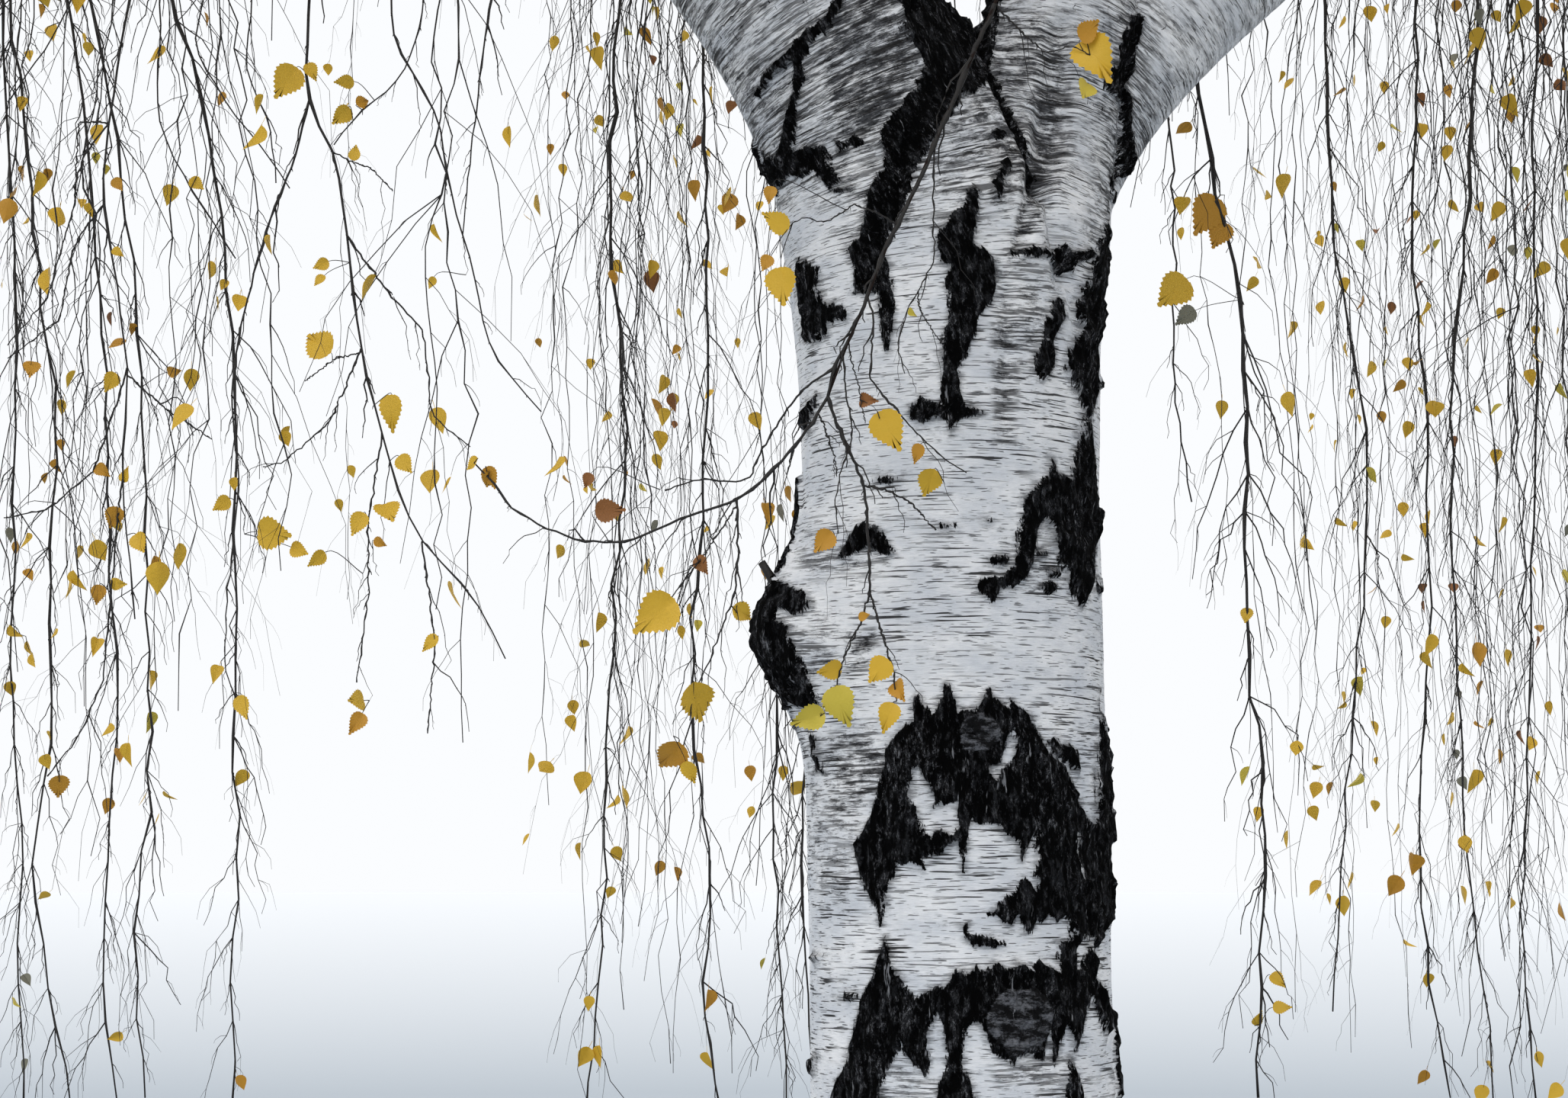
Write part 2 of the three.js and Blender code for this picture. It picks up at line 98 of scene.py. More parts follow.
# %% [markdown]
# ## Finishes as expressions
# A material is a graph of nodes. Drawing it by hand hides the arithmetic, and long lists of links are
# hard to read. Here one small class wraps a node's output, so that an expression such as
# `1 - mask * 0.5` adds the Math nodes by itself, and one method adds every other kind of node.


# %% Sums on shader sockets
class Value:
    """A number or vector that a node gives. Sums on it add Math nodes."""

    def __init__(self, finish, out):
        self.finish = finish
        self.out = out

    def math(self, operation, first, second=0.0):
        return self.finish.node("ShaderNodeMath", {"operation": operation}, {0: first, 1: second})

    def __add__(self, other):
        return self.math("ADD", self, other)

    def __radd__(self, other):
        return self.math("ADD", other, self)

    def __sub__(self, other):
        return self.math("SUBTRACT", self, other)

    def __rsub__(self, other):
        return self.math("SUBTRACT", other, self)

    def __mul__(self, other):
        return self.math("MULTIPLY", self, other)

    def __rmul__(self, other):
        return self.math("MULTIPLY", other, self)

    def over(self, low, high):
        """0 below low, 1 above high, and smooth between them."""
        settings = {"interpolation_type": "SMOOTHSTEP"}
        return self.finish.node("ShaderNodeMapRange", settings, {0: self, 1: low, 2: high})

    def larger(self, other):
        return self.math("MAXIMUM", self, other)


# %% One method for every other node
class Finish:
    """A material with one Principled shader, and the nodes that feed it."""

    def __init__(self, name, roughness=0.8):
        self.material = bpy.data.materials.new(name)
        self.material.use_nodes = True
        self.tree = self.material.node_tree
        self.shader = self.tree.nodes["Principled BSDF"]
        self.shader.inputs["Roughness"].default_value = roughness

    def node(self, kind, settings=None, sockets=None, output=0):
        made = self.tree.nodes.new(kind)
        for name, value in (settings or {}).items():
            setattr(made, name, value)
        for name, value in (sockets or {}).items():
            self.feed(made.inputs[name], value)
        return Value(self, made.outputs[output])

    def feed(self, socket, value):
        if isinstance(value, Value):
            self.tree.links.new(value.out, socket)
        else:
            socket.default_value = value

    def attribute(self, name, output="Fac"):
        return self.node("ShaderNodeAttribute", {"attribute_name": name}, output=output)

    def stretched(self, vector, scale):
        return self.node("ShaderNodeVectorMath", {"operation": "MULTIPLY"}, {0: vector, 1: scale})

    def noise(self, vector, scale, detail=2.0, roughness=0.5):
        sockets = {"Vector": self.stretched(vector, scale), "Scale": 1.0, "Detail": detail}
        return self.node("ShaderNodeTexNoise", sockets={**sockets, "Roughness": roughness})

    def cells(self, vector, scale):
        sockets = {"Vector": self.stretched(vector, scale), "Scale": 1.0}
        return self.node("ShaderNodeTexVoronoi", sockets=sockets)

    def mixed(self, share, first, second):
        """A colour between two, by a share. Each is a value or a row of red, green and blue."""
        first, second = (colour if isinstance(colour, Value) else (*colour, 1) for colour in (first, second))
        return self.node("ShaderNodeMix", {"data_type": "RGBA"}, {0: share, 6: first, 7: second}, output=2)

    def bump(self, height, distance, strength=1.0):
        sockets = {"Height": height, "Distance": distance, "Strength": strength}
        self.feed(self.shader.inputs["Normal"], self.node("ShaderNodeBump", sockets=sockets))


# %% [markdown]
# ## The tree's skeleton
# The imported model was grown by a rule: main boughs that swing out and then climb, limbs that find a free
# seat on them and arch to their tips, stems that go on from the tips, and twigs that arch from a stem and
# fall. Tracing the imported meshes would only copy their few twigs. The same rule is written again here in
# millimetres, so the finer boughs and twigs start exactly where the solids do and can be many more.

# %% Named sizes of the tree, in millimetres and degrees
TREE_HEIGHT, CROWN_RADIUS = 11000, 5250
TRUNK_RADIUS, TRUNK_TAPER, TRUNK_LEAN = 221, 5, -0.017
FORK_START, FORK_CUT, CROTCH_HEIGHT = 2130, 800, 2740
ROOT_FLARE, FLARE_HEIGHT = 150, 260
UP = np.array([0.0, 0.0, 1.0])
# height, azimuth, how far it stands out, half its height, half its width in degrees
SWELLINGS = [
    (1815, 187, 78, 112, 24),
    (1420, 0, -9, 350, 50),
    (2420, 0, 14, 90, 40),
    (1510, 352, 9, 130, 20),
    (1560, 285, 10, 170, 26),
    (560, 95, 30, 130, 28),
]


def bough(name, start, azimuth, turn, leans, swing, climb, length, radii, top):
    return SimpleNamespace(**locals())


MAIN_BOUGHS = [
    bough("left", (-46, -30), 184, 34, (8, 44, 6), 1100, 3000, 7300, (178, 32), (800, 20, 420)),
    bough("middle", (44, 5), 20, 100, (6, 13, 2), 700, 5200, 7950, (118, 26), (250, 70, 930)),
    bough("right", (38, 66), 6, 34, (5, 48, 6), 850, 3000, 7000, (102, 28), (650, 20, 420)),
]
print("main boughs:", [main.name for main in MAIN_BOUGHS])


# %% Helpers that the rule uses
def smooth(x):
    x = np.clip(x, 0, 1)
    return x * x * (3 - 2 * x)


def unit(v):
    return v / np.maximum(np.linalg.norm(v, axis=-1, keepdims=True), 1e-9)


def compass(azimuth):
    turned = math.radians(azimuth)
    return np.array([math.cos(turned), math.sin(turned), 0.0])


def turn_between(start, end):
    return (end - start + 180) % 360 - 180


def chance(a, b):
    """A repeatable number from 0 to 1 for two whole numbers."""
    x = math.sin(a * 12.9898 + b * 78.233) * 43758.5453
    return x - math.floor(x)


def between(a, b, low, high):
    return low + (high - low) * chance(a, b)


def along(path, shares):
    """Points at shares of an evenly stepped line."""
    at = np.clip(shares, 0, 1) * (len(path) - 1)
    i = np.minimum(np.floor(at).astype(int), len(path) - 2)
    part = (at - i)[..., None]
    return path[i] * (1 - part) + path[i + 1] * part


def arch(start, start_way, end, end_way, pull, steps):
    """A cubic curve from one point and direction to another."""
    reach = np.linalg.norm(end - start) * pull
    one, two = start + start_way * reach, end - end_way * reach
    u = np.linspace(0, 1, steps + 1)[:, None]
    v = 1 - u
    return v**3 * start + 3 * v * v * u * one + 3 * v * u * u * two + u**3 * end


def even_steps(corners, steps):
    """A line through corners, in even steps."""
    lengths = np.concatenate([[0], np.cumsum(np.linalg.norm(np.diff(corners, axis=0), axis=1))])
    wanted = np.linspace(0, lengths[-1], steps + 1)
    return np.stack([np.interp(wanted, lengths, column) for column in corners.T], -1)


# %% Lines of the trunk and the main boughs
MAIN_LINE_STEPS = 40


def main_line(main):
    step = main.length / MAIN_LINE_STEPS
    path = [np.array([*main.start, FORK_START], float)]
    for i in range(MAIN_LINE_STEPS):
        s = (i + 0.5) * step
        swung, climbed = smooth(s / main.swing), smooth((s - main.swing) / main.climb)
        low, wide, top = main.leans
        lean = math.radians(low + (wide - low) * swung + (top - wide) * climbed)
        way = compass(main.azimuth + main.turn * climbed) * math.sin(lean) + UP * math.cos(lean)
        path.append(path[-1] + way * step)
    return np.array(path)


def main_girth(main, s):
    base, tip = main.radii
    return tip + (base - tip) * np.clip(1 - s / main.length, 0, 1) ** 0.9


def trunk_girth(z, azimuth):
    """The trunk's radius at heights towards azimuths in degrees."""
    lobes = 1 + 0.3 * np.cos(np.radians(5 * azimuth + 40))
    leftward = np.maximum(0, -np.cos(np.radians(azimuth)))
    girth = TRUNK_RADIUS + TRUNK_TAPER * (1 - z / FORK_START) + ROOT_FLARE * np.exp(-z / FLARE_HEIGHT) * lobes
    girth = girth + 14 * smooth((z - 2150) / 350) * leftward
    for height, towards, out, tall, wide in SWELLINGS:
        turn = turn_between(towards, azimuth)
        girth = girth + out * np.exp(-(((z - height) / tall) ** 2) - (turn / wide) ** 2)
    return girth * (1 - 0.75 * smooth((z - 2420) / 340))


for main in MAIN_BOUGHS:
    main.path = main_line(main)
    print("bough", main.name, "ends at", main.path[-1].round())

# %% Curtains and the limbs that carry them
LOW = SimpleNamespace(name="low", climb=380, lift=40, limb_girth=17, scale=0.6)


def tier(name, count, azimuth, half, limb, cell, hem, climb, lift, limb_girth):
    return SimpleNamespace(**locals(), scale=1)


TIERS = [
    tier("outer", 9, 16, 17.5, (0.7, 0.475), (0.68, 1.0), 0.088, 1750, 60, 44),
    tier("middle", 6, 34, 26, (0.46, 0.665), (0.42, 0.64), 0.37, 1750, 170, 34),
    tier("upper", 4, 66, 21, (0.27, 0.82), (0.24, 0.4), 0.56, 1500, 330, 26),
]
# name, azimuth, azimuth of the limb's tip, radius and height of the tip, cell, hem, half width
LOW_CURTAINS = [
    ("front", 252, 288, 454, 2990, 430, 720, 1690, 34),
    ("left", 196, 196, 1000, 3500, 680, 1500, 1600, 17),
    ("rear", 112, 112, 1250, 3700, 1150, 1750, 900, 14),
    ("far", 62, 62, 2350, 3900, 2300, 3050, 950, 10),
    ("right", 24, 24, 1000, 3600, 950, 1500, 1050, 14),
    ("side", 318, 318, 1650, 3800, 1550, 2250, 1250, 14),
]
FRONT_STEM_END = np.array([-250.0, -455.0, 2080.0])
SHORT_SIDE = (118, 34, 900)


def curtain(label, tier, seed, azimuth, radius, inner, outer, hem, half, **more):
    return SimpleNamespace(**{k: v for k, v in locals().items() if k != "more"}, **more)


def tier_plan(t, seed, k):
    azimuth = t.azimuth + 360 * k / t.count + between(seed, 1, -3, 3)
    away = turn_between(SHORT_SIDE[0], azimuth) / SHORT_SIDE[1]
    radius = CROWN_RADIUS * (t.limb[0] + between(seed, 2, -0.02, 0.02))
    height = TREE_HEIGHT * (t.limb[1] + between(seed, 3, -0.025, 0.025))
    outer = CROWN_RADIUS * (t.cell[1] - between(seed, 4, 0, 0.05))
    hem = TREE_HEIGHT * (t.hem + between(seed, 5, -0.01, 0.045)) + SHORT_SIDE[2] * math.exp(-(away**2))
    label = f"{t.name}_{k + 1:02d}"
    cell = (CROWN_RADIUS * t.cell[0], outer, hem, t.half)
    return curtain(label, t, seed, azimuth, radius, *cell, tip=compass(azimuth) * radius + UP * height)


limbs = []
for k, (name, azimuth, tip_azimuth, radius, height, inner, outer, hem, half) in enumerate(LOW_CURTAINS):
    tip = compass(tip_azimuth) * radius + UP * height
    limbs.append(curtain("low_" + name, LOW, 70 + k, azimuth, radius, inner, outer, hem, half, tip=tip))
for t, each in enumerate(TIERS):
    limbs += [tier_plan(each, 17 * (t + 1) + k, k) for k in range(each.count)]
print("limbs planned:", len(limbs))

# %% Seats of the limbs, and their lines
LIMB_STEPS = 7
FORK_ANGLE = math.radians(44)
taken = []


def seat_of(plan):
    """The free place on a main bough that best lies under a limb's tip."""
    wanted = plan.tip[2] - plan.tier.climb
    best = None
    for main in MAIN_BOUGHS:
        for s in np.arange(FORK_CUT + 150, main.length * 0.93, 40):
            if any(seat.main is main and abs(seat.s - s) < 190 for seat in taken):
                continue
            point = along(main.path, s / main.length)
            cost = math.hypot(*(point - plan.tip)[:2]) + 3 * abs(point[2] - wanted)
            if best is None or cost < best.cost:
                step = min(int(s / main.length * MAIN_LINE_STEPS), MAIN_LINE_STEPS - 1)
                way = unit(main.path[step + 1] - main.path[step])
                best = SimpleNamespace(cost=cost, main=main, s=s, point=point, way=way)
    taken.append(best)
    return best


def departure(seat, away):
    """A limb leaves its bough at no less than the fork angle, on the side that faces its tip."""
    way = unit(away * 0.78 + UP * 0.62)
    if way @ seat.way < math.cos(FORK_ANGLE):
        return way
    flank = unit(away - seat.way * (away @ seat.way))
    return seat.way * math.cos(FORK_ANGLE) + flank * math.sin(FORK_ANGLE)


for plan in limbs:
    plan.seat = seat_of(plan)
    away = unit((plan.tip - plan.seat.point) * [1, 1, 0])
    plan.heading = unit(compass(plan.azimuth) + UP * (0.1 + plan.tier.lift / 600))
    if plan.label == "low_front":
        plan.heading = unit(FRONT_STEM_END - plan.tip)
    plan.way = departure(plan.seat, away)
    plan.path = arch(plan.seat.point, plan.way, plan.tip, plan.heading, 0.36, LIMB_STEPS)


def limb_girth(plan, share):
    return plan.tier.limb_girth * (1 - 0.52 * share) * (1 + 0.35 * np.exp(-14 * share))


print("limbs:", len(limbs), "and the highest tip is at", max(plan.tip[2] for plan in limbs).round(), "mm")


# %% Stems that carry the curtains on
def stem_of(plan, base, heading, girth):
    outward = compass(plan.azimuth)
    start = base + heading * 0.3
    plan.reach = (plan.outer - plan.radius) * 0.72
    end = start + outward * plan.reach + UP * (plan.tier.lift - 0.1 * plan.reach)
    droop = unit(outward - UP * 0.75)
    if plan.label == "low_front":
        end, droop = FRONT_STEM_END, heading
    plan.stem = arch(start, heading, end, droop, 0.4, 4)
    plan.stem_girths = (girth, 9 * plan.tier.scale)


tops = []
for index, main in enumerate(MAIN_BOUGHS):
    tip = main.path[-1]
    reach, half, lift = main.top
    radius = math.hypot(tip[0], tip[1])
    top = SimpleNamespace(name="top", lift=lift, scale=1)
    cell = (max(radius - 500, 0), radius + reach, tip[2] - 3000, half)
    azimuth = math.degrees(math.atan2(tip[1], tip[0]))
    plan = curtain("top_" + main.name, top, 90 + index, azimuth, radius, *cell, tip=tip)
    stem_of(plan, tip, unit(main.path[-1] - main.path[-2]), main_girth(main, main.length))
    tops.append(plan)
for plan in limbs:
    stem_of(plan, plan.tip, plan.heading, limb_girth(plan, 1))
curtains = limbs + tops
print("curtains:", len(curtains))

# %% [markdown]
# ## Places in the picture
# Bark patches and the nearest twigs belong at known places in the picture. They could be placed by eye in
# the viewport, but a second look from elsewhere would then show them floating. The viewpoint is known:
# 4.4 m in front of the trunk at eye height, looking up a little. So each picture place becomes a point in
# space at a chosen depth, and each point on the trunk knows its place in the picture.

# %% The viewpoint
EYE = np.array([-284.0, -4400.0, 1450.0])
PITCH = math.radians(6.48)
PICTURE = (2057, 1440)
FOCAL = 3895
FORWARD = np.array([0.0, math.cos(PITCH), math.sin(PITCH)])
UPWARD = np.array([0.0, -math.sin(PITCH), math.cos(PITCH)])


def picture_place(points):
    """Where points in millimetres lie in the picture, and how deep."""
    away = points - EYE
    depth = away @ FORWARD
    safe = np.where(depth > 1, depth, 1)
    across = PICTURE[0] / 2 + away[..., 0] / safe * FOCAL
    return np.stack([across, PICTURE[1] / 2 - away @ UPWARD / safe * FOCAL], -1), depth


def seen(px, py, y):
    """The point at a depth y that shows at a place in the picture."""
    way = np.array([(px - PICTURE[0] / 2) / FOCAL, 0, 0]) + UPWARD * ((PICTURE[1] / 2 - py) / FOCAL) + FORWARD
    return EYE + way * ((y - EYE[1]) / way[1])


def seen_line(line, y):
    return np.array([seen(px, py, y) for px, py in line])


print("picture centre at the trunk's depth:", seen(1028.5, 720, 0).round())


# %% Repeatable noise for shapes
def ripple(points, size, seed=0):
    """Smooth noise from -1 to 1 over points, which changes over about size."""
    q = points / np.asarray(size, float)
    cell = np.floor(q).astype(np.int64)
    part = q - cell
    part = part * part * (3 - 2 * part)
    total = np.zeros(len(points))
    for corner in range(8):
        step = np.array([corner & 1, corner >> 1 & 1, corner >> 2 & 1])
        place = cell + step
        mix = place[:, 0] * 73856093 ^ place[:, 1] * 19349663 ^ place[:, 2] * 83492791 ^ (seed * 2654435 + 97)
        mix = (mix ^ (mix >> 13)) * 1274126177 & 0x7FFFFFFF
        mix = (mix ^ (mix >> 16)) * 668265263 & 0x7FFFFFFF
        value = (mix ^ mix >> 15) & 0xFFFF
        total += np.prod(np.where(step, part, 1 - part), axis=1) * (value / 32767.5 - 1)
    return total


print("noise runs from", ripple(np.random.default_rng(1).random((4000, 3)) * 99, 1).min().round(2))

# %% [markdown]
# ## Black patches of the bark
# White birch bark splits as the trunk thickens, and black cork swells out of the splits: arches over old
# branch scars, diamonds, and dark seams in the fork. A noise texture would scatter them anywhere. On the
# side that the picture shows each one is outlined here, by its corners in the picture, and the rest of
# the trunk gets arches and diamonds of the same kind from a seed.

# %% Outlines of the patches on the front
PATCHES = {
    "crotch": [
        (1172, -30), (1181, 35), (1210, 75), (1212, 92), (1198, 118), (1160, 162), (1153, 185), (1161, 200),
        (1157, 222), (1143, 245), (1129, 312), (1112, 326), (1122, 350), (1122, 384), (1146, 384),
        (1155, 335),
        (1166, 305), (1184, 275), (1204, 215), (1262, 125), (1285, 118), (1297, 95), (1325, -30),
    ],
    "left smile": [
        (998, 198), (1020, 206), (1038, 198), (1080, 190), (1103, 238), (1092, 250), (1068, 226), (1052, 233),
        (1038, 230), (1026, 242), (1021, 254), (1010, 232),
    ],
    "left notch": [
        (1095, 184), (1108, 186), (1122, 178), (1137, 186), (1126, 192), (1112, 193), (1102, 203),
    ],
    "left hook": [
        (1050, 340), (1074, 352), (1076, 388), (1086, 398), (1100, 400), (1117, 411), (1111, 421),
        (1096, 419),
        (1086, 428), (1083, 442), (1077, 434), (1077, 446), (1060, 449), (1054, 440), (1057, 415),
        (1050, 395),
        (1047, 360),
    ],
    "left thorn": [(1053, 542), (1062, 530), (1073, 517), (1070, 540), (1062, 567), (1055, 562)],
    "seam below crotch": [
        (1148, 338), (1157, 328), (1166, 345), (1174, 410), (1170, 445), (1163, 458), (1149, 370),
    ],
    "middle column": [
        (1277, 242), (1285, 252), (1277, 322), (1292, 326), (1303, 342), (1306, 375), (1298, 398),
        (1282, 418),
        (1279, 440), (1257, 482), (1258, 512), (1267, 533), (1289, 541), (1258, 552), (1248, 570),
        (1241, 552),
        (1228, 548), (1212, 553), (1196, 549), (1196, 534), (1206, 522), (1236, 532), (1235, 475),
        (1237, 445),
        (1244, 422), (1246, 395), (1242, 370), (1246, 348), (1233, 343), (1228, 325), (1232, 300),
        (1262, 270),
        (1270, 253),
    ],
    "small thorn": [(1320, 203), (1326, 216), (1318, 235), (1315, 250), (1308, 262), (1301, 250),
                    (1305, 228)],
    "upper diamond": [
        (1384, 386), (1393, 395), (1396, 412), (1380, 449), (1371, 440), (1377, 400),
    ],
    "lower diamond": [
        (1368, 448), (1379, 445), (1384, 465), (1379, 490), (1368, 498), (1358, 488), (1356, 470),
        (1360, 455),
    ],
    "cross bar": [
        (1330, 328), (1360, 324), (1392, 330), (1400, 315), (1407, 330), (1430, 325), (1437, 336),
        (1411, 346),
        (1408, 358), (1398, 356), (1391, 344), (1378, 338), (1330, 335),
    ],
    "right edge": [
        (1445, 296), (1456, 320), (1456, 400), (1446, 490), (1429, 552), (1399, 485), (1400, 460),
        (1418, 432),
        (1410, 405), (1435, 338),
    ],
    "right arch": [
        (1421, 545), (1429, 556), (1436, 622), (1446, 648), (1444, 680), (1431, 735), (1432, 760),
        (1417, 799),
        (1409, 782), (1400, 775), (1396, 752), (1386, 735), (1380, 690), (1368, 680), (1360, 690),
        (1353, 742),
        (1344, 760), (1330, 770), (1312, 772), (1302, 790), (1279, 768), (1290, 757), (1310, 757),
        (1326, 745),
        (1334, 728), (1338, 675), (1344, 652), (1370, 625), (1379, 601), (1388, 620), (1400, 628),
        (1416, 570),
    ],
    "right edge foot": [(1440, 756), (1456, 762), (1454, 788), (1437, 776)],
    "eye": [
        (1102, 730), (1125, 688), (1138, 683), (1150, 690), (1173, 726), (1166, 729), (1136, 718),
        (1108, 736),
    ],
    "burl": [
        (985, 795), (996, 778), (1008, 768), (1022, 763), (1062, 780), (1065, 796), (1052, 806), (1022, 800),
        (1016, 812), (1036, 822), (1040, 842), (1077, 922), (1060, 928), (1040, 922), (1020, 944),
        (1003, 905),
        (985, 898), (980, 840),
    ],
    "left tail": [
        (1018, 940), (1035, 938), (1045, 955), (1058, 1047), (1053, 1056), (1036, 1005), (1014, 960),
    ],
    "left drip": [(1065, 962), (1073, 968), (1078, 1000), (1081, 1014), (1074, 1010), (1068, 985)],
    "left edge": [(1038, 1052), (1050, 1068), (1051, 1090), (1058, 1118), (1050, 1114), (1040, 1085)],
    "big arch": [
        (1156, 1214), (1150, 1190), (1132, 1155), (1121, 1107), (1135, 1090), (1148, 1055), (1162, 1000),
        (1162, 985),
        (1180, 960), (1200, 944), (1200, 914), (1205, 912), (1217, 932), (1225, 938), (1238, 915),
        (1241, 897),
        (1256, 925), (1255, 933), (1275, 930), (1298, 901), (1301, 915), (1325, 931), (1326, 919),
        (1352, 940),
        (1368, 978), (1378, 992), (1390, 1000), (1406, 1030), (1414, 1058), (1428, 1080), (1438, 1075),
        (1436, 1040),
        (1444, 905), (1456, 905), (1456, 1060), (1470, 1090), (1470, 1140), (1460, 1160), (1456, 1200),
        (1437, 1242),
        (1428, 1228), (1424, 1236), (1412, 1215), (1395, 1200), (1385, 1206), (1375, 1200), (1365, 1209),
        (1360, 1205), (1352, 1220), (1345, 1224), (1340, 1205), (1332, 1200), (1325, 1216), (1312, 1203),
        (1299, 1199), (1342, 1153), (1358, 1166), (1355, 1145), (1361, 1125), (1357, 1112), (1363, 1095),
        (1359, 1088), (1352, 1098), (1340, 1129), (1333, 1100), (1322, 1100), (1308, 1080), (1285, 1080),
        (1275, 1075), (1269, 1090), (1264, 1145), (1261, 1112), (1256, 1102), (1245, 1108), (1228, 1126),
        (1222, 1118), (1210, 1125), (1212, 1138), (1200, 1133), (1180, 1132), (1162, 1175), (1160, 1195),
    ],
    "arch thorn": [
        (1374, 975), (1382, 966), (1390, 980), (1400, 977), (1410, 985), (1412, 1016), (1398, 1000),
        (1380, 990),
    ],
    "dash": [
        (1262, 1215), (1270, 1211), (1268, 1222), (1280, 1228), (1295, 1227), (1318, 1238), (1305, 1243),
        (1290, 1242), (1278, 1239), (1268, 1229),
    ],
    "lower arch": [
        (1161, 1228), (1145, 1285), (1133, 1305), (1112, 1395), (1098, 1418), (1090, 1470), (1152, 1470),
        (1160, 1415), (1183, 1364), (1192, 1385), (1216, 1412), (1219, 1352), (1232, 1326), (1245, 1380),
        (1243, 1402), (1232, 1422), (1224, 1470), (1288, 1470), (1275, 1422), (1264, 1402), (1262, 1370),
        (1266, 1348), (1278, 1337), (1292, 1355), (1300, 1376), (1315, 1390), (1323, 1388), (1326, 1400),
        (1332, 1386), (1355, 1380), (1365, 1392), (1376, 1352), (1382, 1397), (1396, 1343), (1404, 1352),
        (1410, 1378), (1428, 1308), (1450, 1352), (1460, 1390), (1466, 1470), (1490, 1470), (1470, 1345),
        (1452, 1318), (1446, 1297), (1434, 1283), (1436, 1260), (1430, 1240), (1422, 1250), (1418, 1270),
        (1411, 1273), (1409, 1245), (1418, 1228), (1428, 1222), (1430, 1200), (1402, 1200), (1404, 1225),
        (1387, 1238), (1387, 1275), (1362, 1261), (1352, 1271), (1333, 1261), (1322, 1272), (1305, 1261),
        (1290, 1275), (1280, 1267), (1270, 1276), (1256, 1271), (1245, 1288), (1200, 1309), (1178, 1276),
        (1170, 1256),
    ],
    "small wedge": [(1402, 1386), (1408, 1400), (1415, 1420), (1424, 1470), (1390, 1470), (1396, 1415)],
    "short dash": [(1058, 1256), (1070, 1250), (1079, 1255), (1068, 1262)],
    "left knot": [(1060, 1390), (1070, 1386), (1068, 1408), (1058, 1420), (1052, 1470), (1046, 1470)],
}
print("patches outlined:", len(PATCHES), "with", sum(map(len, PATCHES.values())), "corners")

# %% White windows inside them, seams and dots
WINDOWS = {
    "arch window": [
        (1200, 1010), (1206, 1005), (1229, 1050), (1223, 1060), (1244, 1050), (1257, 1053), (1258, 1085),
        (1250, 1095), (1228, 1087), (1222, 1098), (1213, 1096), (1192, 1035), (1195, 1020),
    ],
    "arch slit": [(1409, 1092), (1412, 1100), (1416, 1125), (1422, 1150), (1418, 1154), (1412, 1130)],
    "arch chip": [(1298, 1006), (1312, 1000), (1318, 975), (1328, 955), (1332, 975), (1326, 1000),
                  (1304, 1022)],
}
# Seams: places along a line, each with its half width
SEAMS = {
    "left seam": [(1106, -5, 6), (1085, 28, 7), (1060, 48, 8), (1048, 66, 9), (1050, 95, 7), (1046, 125, 6),
                  (1039, 150, 6), (1036, 175, 7), (1029, 202, 8)],
    "left branch seam": [(1048, 66, 8), (1024, 84, 7), (1008, 100, 6), (996, 122, 4)],
    "right seam": [(1492, 28, 9), (1478, 62, 12), (1474, 92, 13), (1462, 112, 13), (1480, 130, 5),
                   (1478, 165, 6), (1478, 200, 9), (1474, 228, 10), (1466, 258, 9), (1460, 285, 8),
                   (1454, 314, 7)],
    "diamond link": [(1380, 440, 3), (1376, 455, 3)],
    "burl crown": [(1000, 742, 4), (1006, 756, 5), (1014, 770, 5)],
}
# Dots: place, half width, half height
DOTS = [(1311, 735, 10, 6), (1375, 770, 9, 8), (1367, 727, 6, 4), (1380, 752, 7, 5), (1162, 630, 11, 4),
        (1310, 178, 9, 7), (1062, 1306, 2, 2), (1118, 1307, 8, 4), (1452, 835, 6, 10), (1453, 862, 5, 8),
        (1455, 1200, 6, 9), (1245, 690, 5, 2), (1296, 683, 3, 2), (1100, 250, 5, 3)]
print("windows, seams and dots:", len(WINDOWS), len(SEAMS), len(DOTS))
